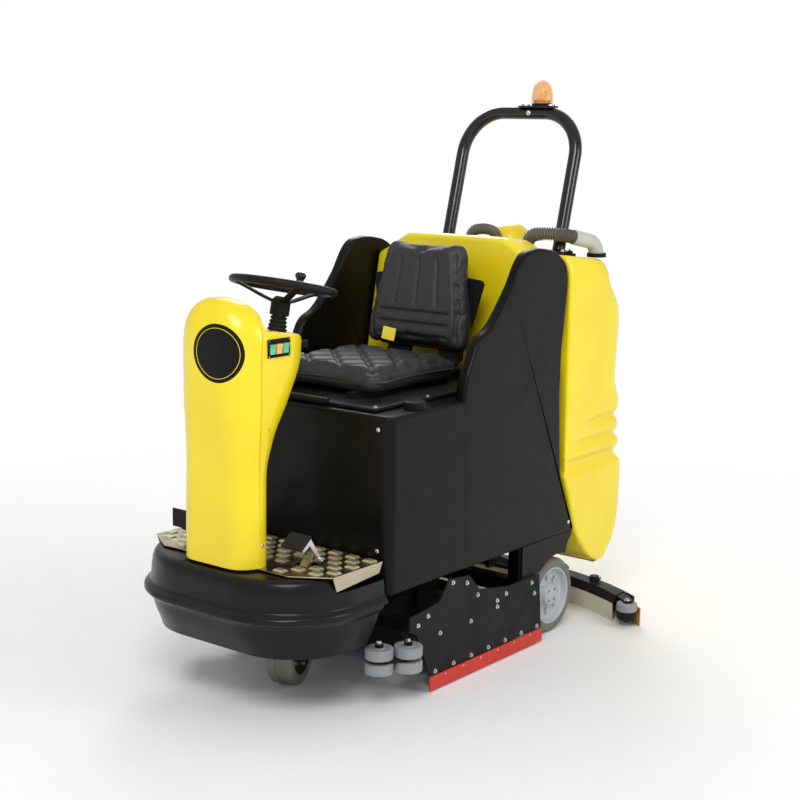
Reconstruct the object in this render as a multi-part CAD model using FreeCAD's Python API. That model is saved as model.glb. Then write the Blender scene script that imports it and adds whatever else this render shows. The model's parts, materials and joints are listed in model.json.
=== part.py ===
import FreeCAD, Part
import math
import os

# Ride-on floor scrubber, as an assembly of separate pieces.
# Millimetres. +X is the machine's left, -Y its front, +Z up.
# The origin is on the floor, under the middle of the machine.

V = FreeCAD.Vector
AXIS_X = V(1, 0, 0)
AXIS_Z = V(0, 0, 1)

# ---------------------------------------------------------------- driving dimensions
RUN = 0.3              # gap kept between curved faces of different bodies
FIT = 0.05             # radial clearance of a shaft in its bore
SHEET = 3.0            # steel sheet
WALL = 6.0             # wall of the moulded tanks and covers

REAR_AXLE_Y = 450.0
REAR_WHEEL_R = 130.0
REAR_RIM_R = 97.0
REAR_WHEEL_X = (293.0, 358.0)
FRONT_AXLE_Y = -480.0
FRONT_WHEEL_R = 115.0
FRONT_WHEEL_W = 80.0
STEER_AT_REST = 22.0   # the front wheel stands turned to the machine's left
MOTOR_R = 42.0
MOTOR_Z = 172.0

BODY_HALF = 377.0
BODY_FRONT = -470.0
BODY_BOTTOM = 345.0
BODY_TOP = 880.0
WING_IN = 338.0
STEP_Z = 455.0
STEP_HALF = 356.0
STEP_FRONT = -700.0
STEP_REAR = -478.0

STEER_Y = -513.0       # middle of the steering wheel
STEER_Z = 1235.0
STEER_R = 162.0
STEER_TILT = 12.5      # the wheel leans back towards the driver

BAR_HALF = 236.0
BAR_TUBE = 22.0
BAR_BASE = V(BAR_HALF, 613, 1290)
BAR_TOP = V(BAR_HALF, 736, 1750)
BAR_BEND = 122.0

BRUSH_R = 75.0
BRUSH_HALF = 345.0
BRUSH_Z = 78.0
BRUSH_Y = (-100.0, 80.0)
PLATE_X = 379.5
PLATE_T = 6.0
DECK_ROLLERS = ((401.0, -405.0), (349.0, -478.0))
DECK_ROLLER_R = 43.0
ARM_PIVOT = V(0, -330, 262)
ARM_END = V(0, -10, 205)

SQUEEGEE_TIP = V(561, 708, 0)
SQUEEGEE_MID_Y = 868.0
SWIVEL_Y = 800.0
SQ_ROLLER = V(525, 668, 0)
SQ_ROLLER_R = 36.0
SQ_PIVOT = V(0, 560, 165)


# ---------------------------------------------------------------- shape helpers
def box(x0, x1, y0, y1, z0, z1):
    """Box between two corners."""
    return Part.makeBox(x1 - x0, y1 - y0, z1 - z0, V(x0, y0, z0))


def cyl(start, axis, radius, length):
    """Solid cylinder from a point along an axis."""
    return Part.makeCylinder(radius, length, start, axis)


def ring(start, axis, outer, inner, length):
    """Cylinder with a bore."""
    return cyl(start, axis, outer, length).cut(cyl(start, axis, inner, length))


def prism(points, travel):
    """Solid swept straight from a flat outline of corner points."""
    wire = Part.makePolygon(list(points) + [points[0]])
    return Part.Face(wire).extrude(travel)


def side_prism(yz, x0, x1):
    """Solid whose outline is drawn in the side view."""
    return prism([V(x0, y, z) for y, z in yz], V(x1 - x0, 0, 0))


def plan_prism(xy, z0, z1):
    """Solid whose outline is drawn in plan."""
    return prism([V(x, y, z0) for x, y in xy], V(0, 0, z1 - z0))


def revolve(rz, base, axis):
    """Solid of revolution: radius and height pairs about an axis through base."""
    points = [V(r, 0, z) for r, z in rz]
    face = Part.Face(Part.makePolygon(points + [points[0]]))
    solid = face.revolve(V(0, 0, 0), AXIS_Z, 360)
    turn = FreeCAD.Rotation(AXIS_Z, axis)
    solid.Placement = FreeCAD.Placement(base, turn)
    return solid


def plan_wire(half, front, rear, r_front, z, r_rear=1.0):
    """Closed plan outline, symmetric about X = 0, with rounded corners."""
    edges = []

    def corner(cx, cy, r, start):
        names = []
        for step in (0, 45, 90):
            a = math.radians(start + step)
            names.append(V(cx + r * math.cos(a), cy + r * math.sin(a), z))
        return Part.Arc(*names).toShape(), names[0], names[2]

    spots = (
        (half - r_rear, rear - r_rear, r_rear, 0),
        (-half + r_rear, rear - r_rear, r_rear, 90),
        (-half + r_front, front + r_front, r_front, 180),
        (half - r_front, front + r_front, r_front, 270),
    )
    arcs = [corner(*spot) for spot in spots]
    for index, (arc, _, end) in enumerate(arcs):
        edges.append(arc)
        start = arcs[(index + 1) % 4][1]
        edges.append(Part.LineSegment(end, start).toShape())
    return Part.Wire(edges)


def loft(wires):
    """Solid through closed outlines, straight between each pair."""
    return Part.makeLoft(wires, True, True)


def fuse(shapes):
    """One solid from several that touch."""
    whole = shapes[0].multiFuse(shapes[1:]) if len(shapes) > 1 else shapes[0]
    return whole.removeSplitter()


def both_sides(shape):
    """A piece and its mirror image as two solids."""
    return [shape, shape.mirror(V(0, 0, 0), AXIS_X)]


def turned(shape, centre, axis, angle):
    """Copy of a shape turned about an axis."""
    copy = shape.copy()
    copy.rotate(centre, axis, angle)
    return copy


def rounded(shape, radius, pick):
    """Fillet the edges that a test picks."""
    edges = [edge for edge in shape.Edges if pick(edge)]
    return shape.makeFillet(radius, edges)


def along(edge, axis):
    """True for a straight edge parallel to an axis."""
    if len(edge.Vertexes) != 2:
        return False
    run = edge.Vertexes[1].Point.sub(edge.Vertexes[0].Point)
    return run.Length > 1 and abs(run.dot(axis)) > 0.999 * run.Length


def route(points, radius_factor=0.45):
    """Path of straight runs joined by tangent arcs."""
    edges = []
    start = points[0]
    for index in range(1, len(points) - 1):
        here = points[index]
        back = points[index - 1].sub(here)
        on = points[index + 1].sub(here)
        cut = radius_factor * min(back.Length, on.Length)
        half = back.getAngle(on) / 2
        first = here.add(back.normalize().multiply(cut))
        last = here.add(on.normalize().multiply(cut))
        inward = back.add(on).normalize()
        reach = cut / math.cos(half)
        radius = cut * math.tan(half)
        middle = here.add(inward.multiply(reach - radius))
        edges.append(Part.LineSegment(start, first).toShape())
        edges.append(Part.Arc(first, middle, last).toShape())
        start = last
    edges.append(Part.LineSegment(start, points[-1]).toShape())
    return Part.Wire(edges)


def tube(points, radius, radius_factor=0.45):
    """Round bar or hose along a route of runs and arcs."""
    path = route(points, radius_factor)
    heading = points[1].sub(points[0])
    section = Part.Wire(Part.makeCircle(radius, points[0], heading))
    return path.makePipeShell([section], True, False, 2)


PIECES = {}


def piece(name):
    """Register the function that makes a named piece."""
    def keep(maker):
        PIECES[name] = maker
        return maker
    return keep


# ---------------------------------------------------------------- frame and front
@piece("main_frame")
def main_frame():
    rails = both_sides(box(180, 220, -700, 546, 288, 338))
    crosses = [box(-220, 220, y, y + 40, 288, 338) for y in (-700, -360, 180, 506)]
    head = ring(V(0, FRONT_AXLE_Y, 300), AXIS_Z, 70, 40, 38)
    ties = [box(-220, 220, FRONT_AXLE_Y - 20, FRONT_AXLE_Y + 20, 300, 338)]
    axle_beam = box(-230, 230, REAR_AXLE_Y - 25, REAR_AXLE_Y + 25, 110, 160)
    drops = both_sides(box(190, 230, REAR_AXLE_Y - 25, REAR_AXLE_Y + 25, 110, 300))
    reach = REAR_WHEEL_X[1] - 4 - 225
    stubs = both_sides(cyl(V(225, REAR_AXLE_Y, REAR_WHEEL_R), AXIS_X, 15, reach))
    hanger = both_sides(box(28, 42, 520, 560, 150, 290))
    hanger = hanger + [box(-42, 42, 506, 545, 280, 292)]
    ears = both_sides(box(150, 162, -352, -308, 240, 300))
    whole = fuse(rails + crosses + ties + [axle_beam] + drops + hanger + ears)
    whole = fuse([whole] + stubs + [head])
    whole = whole.cut(cyl(V(0, FRONT_AXLE_Y, 290), AXIS_Z, 40, 60))
    whole = whole.cut(cyl(V(-170, -330, ARM_PIVOT.z), AXIS_X, 10 + FIT, 340))
    return whole.cut(cyl(V(-60, SQ_PIVOT.y - 12, SQ_PIVOT.z), AXIS_X, 8 + FIT, 120))


FENDER_SECTIONS = (
    (211, 345, -815, 215),
    (300, 370, -858, 262),
    (326, 384, -890, 285),
    (346, 384, -890, 285),
    (358, 372, -868, 270),
    (420, 366, -858, 262),
    (448, 350, -840, 245),
)


@piece("front_fender")
def front_fender():
    outer = [plan_wire(h, f, -482, r, z) for z, h, f, r in FENDER_SECTIONS]
    inner = [plan_wire(h - WALL, f + WALL, -481, r - WALL, z) for z, h, f, r in FENDER_SECTIONS[:-1]]
    inner[0].translate(V(0, 0, -1))
    top = FENDER_SECTIONS[-1]
    inner.append(plan_wire(top[1] - WALL, top[2] + WALL, -481, top[3] - WALL, top[0] - WALL))
    shell = loft(outer).cut(loft(inner))
    cutaway = side_prism([(-535, 200), (-475, 200), (-475, 335), (-500, 335)], -400, 400)
    shell = shell.cut(cutaway)
    for recess in both_sides(box(350, 400, STEP_FRONT - 6, -470, 403, 460)):
        shell = shell.cut(recess)
    for slot in both_sides(box(184, 228, -672, -614, 420, 460)):
        shell = shell.cut(slot)
    return shell


@piece("step_plate")
def step_plate():
    plate = box(-STEP_HALF, STEP_HALF, STEP_FRONT, STEP_REAR, STEP_Z - SHEET, STEP_Z)
    nose = plan_prism([(-STEP_HALF, STEP_FRONT), (-250, -770), (250, -770), (STEP_HALF, STEP_FRONT)],
                      STEP_Z - SHEET, STEP_Z)
    flange = side_prism([(STEP_FRONT, STEP_Z), (STEP_REAR, STEP_Z), (STEP_REAR - 16, STEP_Z - 32),
                         (STEP_FRONT + 18, STEP_Z - 46)], STEP_HALF, STEP_HALF + SHEET)
    whole = fuse([plate, nose] + both_sides(flange))
    hole = box(-70, 70, -760, -640, STEP_Z - 10, STEP_Z + 10)
    slots = both_sides(box(175, 235, -668, -612, STEP_Z - 10, STEP_Z + 10))
    return whole.cut(hole).cut(slots[0]).cut(slots[1])


# Height, half width, front, rear, front corner radius, rear corner radius.
COLUMN_SECTIONS = (
    (456, 138, -826, -706, 66, 50),
    (712, 138, -826, -702, 66, 54),
    (825, 144, -832, -658, 70, 84),
    (933, 150, -838, -586, 76, 108),
    (1040, 150, -840, -522, 80, 133),
    (1118, 150, -840, -514, 80, 135),
)
HEAD_SECTIONS = (
    (1090, 150, -840, -745, 80, 14),
    (1124, 150, -840, -745, 80, 14),
    (1150, 145, -837, -748, 70, 14),
    (1174, 133, -832, -753, 58, 14),
    (1194, 114, -825, -760, 44, 14),
    (1210, 86, -816, -768, 30, 12),
    (1220, 52, -806, -778, 14, 10),
)


def column_solid(wall):
    """The column cover's outer form, or its inside when a wall is given."""
    def ring_at(section, drop=0.0):
        z, half, front, rear, r_front, r_rear = section
        r_front = max(r_front - wall, 2)
        r_rear = max(r_rear - wall, 2)
        return plan_wire(half - wall, front + wall, rear - wall, r_front, z - drop, r_rear)

    lower = [ring_at(section) for section in COLUMN_SECTIONS[:-1]]
    lower.append(ring_at(COLUMN_SECTIONS[-1], wall))
    if wall:
        lower[0] = ring_at(COLUMN_SECTIONS[0], 1.0)
    head = [ring_at(section, wall) for section in HEAD_SECTIONS]
    return fuse([loft(lower), loft(head)])


@piece("column_shell")
def column_shell():
    shell = column_solid(0).cut(column_solid(WALL))
    shell = shell.cut(box(-100, 100, -720, -690, 440, 690))
    shell = shell.cut(box(140, 152, PANEL_Y[0] + 6, PANEL_Y[1] - 6, PANEL_Z[0] + 6, PANEL_Z[1] - 6))
    shell = shell.cut(on_column(cyl(V(0, 0, -200), AXIS_Z, 22, 120)))
    return shell.cut(cyl(KEY_AT.sub(V(KEY_AXIS).multiply(12)), KEY_AXIS, 9, 30))


PANEL_Y = (-742.0, -652.0)
PANEL_Z = (1060.0, 1112.0)
PANEL_X = 150.2
KEY_AT = V(15 + 135 * math.sqrt(0.5), -649 + 135 * math.sqrt(0.5), 1078)
KEY_AXIS = V(math.sqrt(0.5), math.sqrt(0.5), 0)


@piece("column_back_cover")
def column_back_cover():
    return box(-99, 99, -718, -713, 458, 688)


@piece("control_panel")
def control_panel():
    bezel = box(PANEL_X, PANEL_X + 4, PANEL_Y[0], PANEL_Y[1], PANEL_Z[0], PANEL_Z[1])
    for y in ROCKER_Y:
        bezel = bezel.cut(box(PANEL_X - 1, PANEL_X + 5, y - 12, y + 12, 1068, 1098))
    return bezel


ROCKER_Y = (-724.0, -697.0, -670.0)


def rocker(y):
    """Switch rocker, its top half standing out."""
    back = PANEL_X - 6
    face = PANEL_X + 5
    raised = PANEL_X + 9
    outline = [(back, 1069), (face, 1069), (face, 1080), (raised, 1097), (back, 1097)]
    body = prism([V(x, y - 11, z) for x, z in outline], V(0, 22, 0))
    return fuse([body, cyl(V(PANEL_X, y - 11.6, 1083), V(0, 1, 0), 2.5, 23.2)])


for number, y_middle in enumerate(ROCKER_Y, start=1):
    PIECES["rocker_%d" % number] = lambda y=y_middle: rocker(y)


@piece("key_knob")
def key_knob():
    collar = cyl(KEY_AT.sub(V(KEY_AXIS).multiply(10)), KEY_AXIS, 8, 14)
    grip = box(0, 14, -3, 3, -11, 11)
    grip = turned(grip, V(0, 0, 0), AXIS_Z, 45).translate(KEY_AT.add(V(KEY_AXIS).multiply(3)))
    return fuse([collar, grip])


# ---------------------------------------------------------------- steering
TILT = math.radians(STEER_TILT)
STEER_AXIS = V(0, math.sin(TILT), math.cos(TILT))
STEER_CENTRE = V(0, STEER_Y, STEER_Z)


@piece("steering_wheel")
def steering_wheel():
    rim = Part.makeTorus(STEER_R - 12, 12, V(0, 0, 0), AXIS_Z)
    hub = cyl(V(0, 0, -62), AXIS_Z, 26, 30)
    spokes = []
    for angle in (90, 210, 330):
        run = [V(18, 0, -46), V(80, 0, -34), V(STEER_R - 12, 0, 0)]
        bar = tube(run, 8)
        spokes.append(turned(bar, V(0, 0, 0), AXIS_Z, angle))
    whole = fuse([rim, hub] + spokes)
    stud_at = V(0, STEER_R - 12, 8)
    whole = fuse([whole, turned(cyl(stud_at, AXIS_Z, 5, 22), V(0, 0, 0), AXIS_Z, KNOB_TURN)])
    whole = whole.cut(cyl(V(0, 0, -70), AXIS_Z, 12, 30))
    return on_column(whole)


KNOB_TURN = 24.0


def on_column(shape):
    """Move a shape drawn about the origin onto the steering axis."""
    copy = shape.copy()
    lean = FreeCAD.Placement(STEER_CENTRE, FreeCAD.Rotation(AXIS_Z, STEER_AXIS))
    copy.Placement = lean.multiply(copy.Placement)
    return copy


@piece("spinner_knob")
def spinner_knob():
    knob = revolve([(5 + FIT, 14), (13, 14), (15, 22), (13, 34), (17, 44), (14, 54), (0, 57), (0, 31),
                    (5 + FIT, 31)], V(0, STEER_R - 12, 0), AXIS_Z)
    return on_column(turned(knob, V(0, 0, 0), AXIS_Z, KNOB_TURN))


@piece("steering_shaft")
def steering_shaft():
    upper = cyl(V(0, 0, -196), AXIS_Z, 12, 154)
    yoke = cyl(V(0, 0, -206), AXIS_Z, 18, 30)
    return on_column(fuse([upper, yoke]))


@piece("steering_boot")
def steering_boot():
    folds = [(16, -64)]
    top, bottom, count = -66.0, -112.0, 4
    pitch = (top - bottom) / count
    for index in range(count):
        start = top - index * pitch
        folds.append((21 + index, start))
        folds.append((26 + index, start - pitch / 2))
    folds.append((28, bottom))
    folds.append((16, bottom))
    return on_column(revolve(folds, V(0, 0, 0), AXIS_Z))


@piece("front_fork")
def front_fork():
    crown = box(-62, 62, -60, 60, 248, 262)
    legs = both_sides(box(48, 60, -40, 40, 85, 255))
    king = cyl(V(0, 0, 255), AXIS_Z, 40 - RUN, 60)
    sprocket = cyl(V(0, 0, 262), AXIS_Z, 84, 14)
    whole = fuse([crown] + legs + [king, sprocket])
    whole = whole.cut(cyl(V(-80, 0, FRONT_WHEEL_R), AXIS_X, 14 + FIT, 160))
    return at_fork(whole)


def at_fork(shape):
    """Turn a straight-ahead part to the resting steering angle and put it at the fork."""
    copy = turned(shape, V(0, 0, 0), AXIS_Z, STEER_AT_REST)
    copy.translate(V(0, FRONT_AXLE_Y, 0))
    return copy


@piece("drive_motor")
def drive_motor():
    case = cyl(V(-60.5, 0, MOTOR_Z), V(-1, 0, 0), MOTOR_R, 92)
    gear_case = box(-76, -60.5, -26, 26, FRONT_WHEEL_R - 14, MOTOR_Z)
    gear_end = cyl(V(-60.5, 0, FRONT_WHEEL_R), V(-1, 0, 0), 28, 15.5)
    whole = fuse([case, gear_case, gear_end])
    return at_fork(whole.cut(cyl(V(-50, 0, FRONT_WHEEL_R), V(-1, 0, 0), 14 + RUN, 30)))


@piece("front_tyre")
def front_tyre():
    half = FRONT_WHEEL_W / 2
    r = FRONT_WHEEL_R
    profile = [(82, -half), (r - 8, -half), (r, -half + 8), (r, half - 8), (r - 8, half), (82, half)]
    return at_fork(revolve(profile, V(0, 0, r), AXIS_X))


@piece("front_hub")
def front_hub():
    half = FRONT_WHEEL_W / 2
    profile = [(0, -half - 6), (40, -half - 6), (46, -half + 4), (82, -half + 2), (82, half - 2),
               (46, half - 4), (40, half + 6), (0, half + 6)]
    body = revolve(profile, V(0, 0, FRONT_WHEEL_R), AXIS_X)
    shaft = cyl(V(-74, 0, FRONT_WHEEL_R), AXIS_X, 14, 148)
    return at_fork(fuse([body, shaft]))


# ---------------------------------------------------------------- pedals
@piece("accelerator_pedal")
def accelerator_pedal():
    pad = side_prism([(-700, 512), (-664, 540), (-618, 470), (-624, 464), (-668, 520), (-696, 505)], 165, 245)
    pin = cyl(V(160, -622, 472), AXIS_X, 6, 90)
    arm = side_prism([(-660, 440), (-646, 440), (-618, 470), (-626, 478)], 190, 220)
    return fuse([pad, pin, arm])


@piece("brake_pedal")
def brake_pedal():
    pad = box(-256, -176, -728, -722, 505, 560)
    outline = [(-724, 500), (-722, 556), (-700, 540), (-640, 470), (-640, 440), (-650, 440), (-652, 462)]
    arm = side_prism(outline, -222, -210)
    pin = cyl(V(-262, -646, 462), AXIS_X, 6, 96)
    return fuse([pad, arm, pin])


# ---------------------------------------------------------------- black body and seat
WING = ((-110, 860), (-110, 925), (-68, 1010), (-40, 1066), (25, 1090), (81, 1147), (137, 1214),
        (178, 1282), (214, 1316), (291, 1324), (390, 1308), (452, 1265), (464, 1211), (452, 1110),
        (435, 979), (432, 822), (449, 560), (538, 352), (538, BODY_BOTTOM), (-100, BODY_BOTTOM))
BAY = (-286.0, 286.0, -430.0, 96.0, 420.0)


@piece("solution_tank")
def solution_tank():
    block = box(-BODY_HALF, BODY_HALF, BODY_FRONT, 430, BODY_BOTTOM, BODY_TOP)
    block = rounded(block, 30, lambda e: along(e, AXIS_Z) and e.CenterOfMass.y < BODY_FRONT + 5)
    block = block.fuse(box(-WING_IN, WING_IN, 400, 432, BODY_BOTTOM, BODY_TOP))
    walls = both_sides(side_prism(WING, WING_IN, BODY_HALF))
    whole = fuse([block] + walls)
    x0, x1, y0, y1, z0 = BAY
    whole = whole.cut(box(x0, x1, y0, y1, z0, BODY_TOP + 1))
    whole = whole.cut(box(-WING_IN + 10, WING_IN - 10, y1 + 12, 420, BODY_BOTTOM + 50, BODY_TOP - 10))
    arch = both_sides(cyl(V(285, REAR_AXLE_Y, REAR_WHEEL_R), AXIS_X, REAR_WHEEL_R + 20, 100))
    neck = ring(V(332, -300, BODY_TOP - 4), AXIS_Z, 27, 21, 18)
    whole = fuse([whole.cut(arch[0]).cut(arch[1]), neck])
    return whole.cut(cyl(V(332, -300, BODY_TOP - 60), AXIS_Z, 21, 80))


@piece("filler_cap")
def filler_cap():
    skirt = ring(V(332, -300, BODY_TOP + 1), AXIS_Z, 34, 27 + RUN, 14)
    top = cyl(V(332, -300, BODY_TOP + 14.5), AXIS_Z, 34, 8)
    return fuse([skirt, top])


@piece("batteries")
def batteries():
    cells = []
    for x in (-275, -88, 99):
        for y in (-420, -165):
            case = box(x, x + 176, y, y + 245, BAY[4], 690)
            posts = [cyl(V(x + dx, y + 40, 690), AXIS_Z, 9, 18) for dx in (40, 136)]
            cells.append(fuse([case] + posts))
    return cells


SEAT_HINGE = V(0, -448, 897)


@piece("seat_frame")
def seat_frame():
    plate = box(-292, 292, -440, 112, 884, 892)
    barrel = cyl(V(-120, SEAT_HINGE.y, SEAT_HINGE.z), AXIS_X, 8, 240)
    knuckle = box(-110, 110, -448, -430, 886, 892)
    slides = both_sides(box(120, 150, -360, 60, 892, 912))
    post = side_prism([(60, 892), (100, 892), (186, 950), (196, 990), (222, 1200), (209, 1200), (178, 990),
                       (168, 962), (92, 904), (60, 904)], 60, 150)
    posts = both_sides(post)
    tie = side_prism([(192, 1080), (207, 1180), (214, 1180), (200, 1080)], -150, 150)
    return fuse([plate, barrel, knuckle] + slides + posts + [tie])


@piece("seat_cushion")
def seat_cushion():
    block = box(-235, 235, -372, 96, 914, 985)
    return rounded(block, 26, lambda e: True)


@piece("seat_back")
def seat_back():
    half = [(225, 975), (225, 1110), (196, 1235), (176, 1318), (164, 1340), (140, 1352)]
    outline = half + [(-x, z) for x, z in reversed(half)]
    slab = prism([V(x, 0, z) for x, z in outline], V(0, 62, 0))
    slab = rounded(slab, 16, lambda e: abs(e.CenterOfMass.y) < 0.1)
    slab.rotate(V(0, 0, 975), AXIS_X, -9)
    slab.translate(V(0, 104, 0))
    return slab


@piece("seat_latch")
def seat_latch():
    stem = cyl(V(246, 60, 902), AXIS_X, 5, 26)
    tag = box(262, 270, 44, 76, 903, 955)
    return fuse([stem, tag])


# ---------------------------------------------------------------- recovery tank
TANK_SIDE = ((474, 884), (474, 560), (552, 340), (640, 232), (700, 194), (785, 186), (900, 186),
             (900, 1238), (770, 1256), (474, 1290))
TANK_REAR = ((180, 796), (226, 842), (320, 872), (480, 886), (640, 890), (800, 884), (1000, 862),
             (1120, 836), (1240, 800), (1300, 780))
TANK_FRONT = ((262, 892), (330, 1336), (350, 1345), (480, 1330), (480, 892))
TANK_HALF = 380.0
TANK_CORNER = 110.0
TANK_FRONT_HALF = 333.0
LID_AT = V(20, 640, 1268)
LID_R = 78.0


def tank_solid(wall):
    """The recovery tank's outer form, or its inside when a wall is given."""
    sections = []
    for z, rear in TANK_REAR:
        sections.append(plan_wire(TANK_HALF - wall, 470 + wall, rear - wall, 2, z, TANK_CORNER - wall))
    side = side_prism(inset(TANK_SIDE, wall), -TANK_HALF, TANK_HALF)
    back = loft(sections).common(side)
    nose = side_prism(inset(TANK_FRONT, wall), -TANK_FRONT_HALF + wall, TANK_FRONT_HALF - wall)
    if not wall:
        return fuse([back, nose])
    half = TANK_FRONT_HALF - wall
    throat = box(-half, half, 440, 520, 892 + wall, 1262)
    return fuse([back, nose, throat])


def inset(outline, wall):
    """Move an outline's corners towards its middle by a wall."""
    ys = [y for y, _ in outline]
    zs = [z for _, z in outline]
    middle_y, middle_z = (min(ys) + max(ys)) / 2, (min(zs) + max(zs)) / 2
    scale_y = 1 - 2 * wall / (max(ys) - min(ys))
    scale_z = 1 - 2 * wall / (max(zs) - min(zs))
    return [(middle_y + (y - middle_y) * scale_y, middle_z + (z - middle_z) * scale_z) for y, z in outline]


@piece("recovery_tank")
def recovery_tank():
    shell = tank_solid(0).cut(tank_solid(WALL + 4))
    collar = cyl(LID_AT.sub(V(0, 0, 10)), AXIS_Z, LID_R, 44)
    hole = cyl(LID_AT.sub(V(0, 0, 60)), AXIS_Z, LID_R - 14, 140)
    pads = both_sides(box(BAR_HALF - 48, BAR_HALF + 48, 570, 656, 1262, 1280))
    whole = fuse([shell, collar] + pads).cut(hole)
    return whole.cut(cyl(V(0, SWIVEL_Y, 180), AXIS_Z, 23, 30))


@piece("recovery_lid")
def recovery_lid():
    top = LID_AT.add(V(0, 0, 34.5))
    profile = [(0, 0), (LID_R + 6, 0), (LID_R + 6, 12), (LID_R - 20, 24), (30, 31), (0, 32)]
    dome = revolve(profile, top, AXIS_Z)
    lug = box(-26, 26, LID_R - 8, LID_R + 24, 0, 14).translate(top)
    barrel = cyl(top.add(V(-26, LID_R + 24, 7)), AXIS_X, 7, 52)
    return fuse([dome, lug, barrel])


@piece("vacuum_motor")
def vacuum_motor():
    can = cyl(V(-170, 640, 1040), AXIS_Z, 72, 120)
    fan = cyl(V(-170, 640, 1020), AXIS_Z, 86, 24)
    bracket = box(-270, -70, 550, 730, 1010, 1020)
    return fuse([can, fan, bracket])


# ---------------------------------------------------------------- hoses
TANK_DECK_Z = 1290.5   # just above the tank top behind its front hump
VACUUM_ROUTE = [V(-70, 512, TANK_DECK_Z), V(-66, 512, 1345), V(-5, 514, 1358), V(56, 512, 1345),
                V(60, 512, TANK_DECK_Z)]
VACUUM_HOSE_R = 18.0
SUCTION_ROUTE = [V(168, 520, TANK_DECK_Z), V(170, 516, 1338), V(225, 522, 1352), V(285, 570, 1347),
                 V(312, 640, 1330), V(325, 706, 1316), V(326, 713, 1273)]
HOSE_R = 25.0


@piece("vacuum_hose")
def vacuum_hose():
    return tube(VACUUM_ROUTE, VACUUM_HOSE_R)


@piece("suction_hose")
def suction_hose():
    return tube(SUCTION_ROUTE, HOSE_R)


@piece("hose_cuffs")
def hose_cuffs():
    cuffs = []
    ends = ((SUCTION_ROUTE[0], HOSE_R), (VACUUM_ROUTE[0], VACUUM_HOSE_R), (VACUUM_ROUTE[-1], VACUUM_HOSE_R))
    for end, radius in ends:
        cuffs.append(ring(end, AXIS_Z, radius + 7, radius + 3, 14))
    last = SUCTION_ROUTE[-1]
    cuffs.append(ring(V(last.x, last.y, 1267), AXIS_Z, HOSE_R + 8, HOSE_R + 4, 14))
    return cuffs


@piece("squeegee_hose")
def squeegee_hose():
    return ring(V(0, SWIVEL_Y, 136), AXIS_Z, 27, 22, 50)


# ---------------------------------------------------------------- roll bar and beacon
@piece("roll_bar")
def roll_bar():
    lean = BAR_TOP.sub(BAR_BASE).normalize()
    left = [BAR_BASE, BAR_TOP, V(0, BAR_TOP.y, BAR_TOP.z)]
    bend = BAR_BEND
    mirror = [V(-p.x, p.y, p.z) for p in reversed(left[:-1])]
    points = left[:-1] + mirror
    edges = []
    first = points[1].sub(V(lean).multiply(bend))
    second = points[1].sub(V(bend, 0, 0))
    middle = points[1].add(V(-bend, 0, 0)).sub(V(lean).multiply(bend))
    k = bend * math.sqrt(0.5)
    top_arc = middle.add(V(k, 0, 0)).add(V(lean).multiply(k))
    edges.append(Part.LineSegment(points[0], first).toShape())
    edges.append(Part.Arc(first, top_arc, second).toShape())
    flip = [V(-p.x, p.y, p.z) for p in (points[0], first, top_arc, second)]
    edges.append(Part.LineSegment(second, flip[3]).toShape())
    edges.append(Part.Arc(flip[3], flip[2], flip[1]).toShape())
    edges.append(Part.LineSegment(flip[1], flip[0]).toShape())
    section = Part.Wire(Part.makeCircle(BAR_TUBE, points[0], lean))
    bar = Part.Wire(edges).makePipeShell([section], True, False, 2)
    plate = box(-12, 124, BAR_TOP.y - 30, BAR_TOP.y + 30, BAR_TOP.z + BAR_TUBE - 4, BAR_TOP.z + BAR_TUBE + 3)
    feet = both_sides(box(BAR_HALF - 40, BAR_HALF + 40, 578, 648, 1280.2, 1290))
    return fuse([bar, plate] + feet)


BEACON = V(72, BAR_TOP.y, BAR_TOP.z + BAR_TUBE + 3)


@piece("beacon_base")
def beacon_base():
    return revolve([(0, 0), (34, 0), (36, 4), (36, 14), (30, 20), (0, 20)], BEACON, AXIS_Z)


@piece("beacon_lens")
def beacon_lens():
    outer = [(31, 20), (33, 24), (33, 34), (29, 52), (22, 76), (14, 85), (0, 88)]
    inner = [(0, 85), (12, 82), (19, 74), (26, 51), (30, 33), (28, 20)]
    return revolve(outer + inner, BEACON, AXIS_Z)


@piece("beacon_rotor")
def beacon_rotor():
    spindle = cyl(BEACON.add(V(0, 0, 20.3)), AXIS_Z, 5, 26)
    turntable = cyl(BEACON.add(V(0, 0, 22)), AXIS_Z, 18, 4)
    mirror = box(-14, 14, 10, 13, 24, 50).translate(BEACON)
    return fuse([spindle, turntable, mirror])


# ---------------------------------------------------------------- rear wheels
@piece("rear_tyre_left")
def rear_tyre(side=1):
    x0, x1 = REAR_WHEEL_X
    r = REAR_WHEEL_R
    middle, half = (x0 + x1) / 2, (x1 - x0) / 2
    profile = [(REAR_RIM_R, -half), (r - 12, -half), (r, -half + 10), (r, half - 10), (r - 12, half),
               (REAR_RIM_R, half)]
    return revolve(profile, V(side * middle, REAR_AXLE_Y, r), V(side, 0, 0))


@piece("rear_rim_left")
def rear_rim(side=1):
    x0, x1 = REAR_WHEEL_X
    middle, half = (x0 + x1) / 2, (x1 - x0) / 2
    profile = [(15 + FIT, -half + 2), (34, -half + 2), (36, -10), (80, -6), (REAR_RIM_R, -half),
               (REAR_RIM_R, half), (REAR_RIM_R - 6, half), (82, 8), (60, 2), (40, 6), (34, half - 8),
               (15 + FIT, half - 8)]
    return revolve(profile, V(side * middle, REAR_AXLE_Y, REAR_WHEEL_R), V(side, 0, 0))


PIECES["rear_tyre_right"] = lambda: rear_tyre(-1)
PIECES["rear_rim_right"] = lambda: rear_rim(-1)


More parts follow.
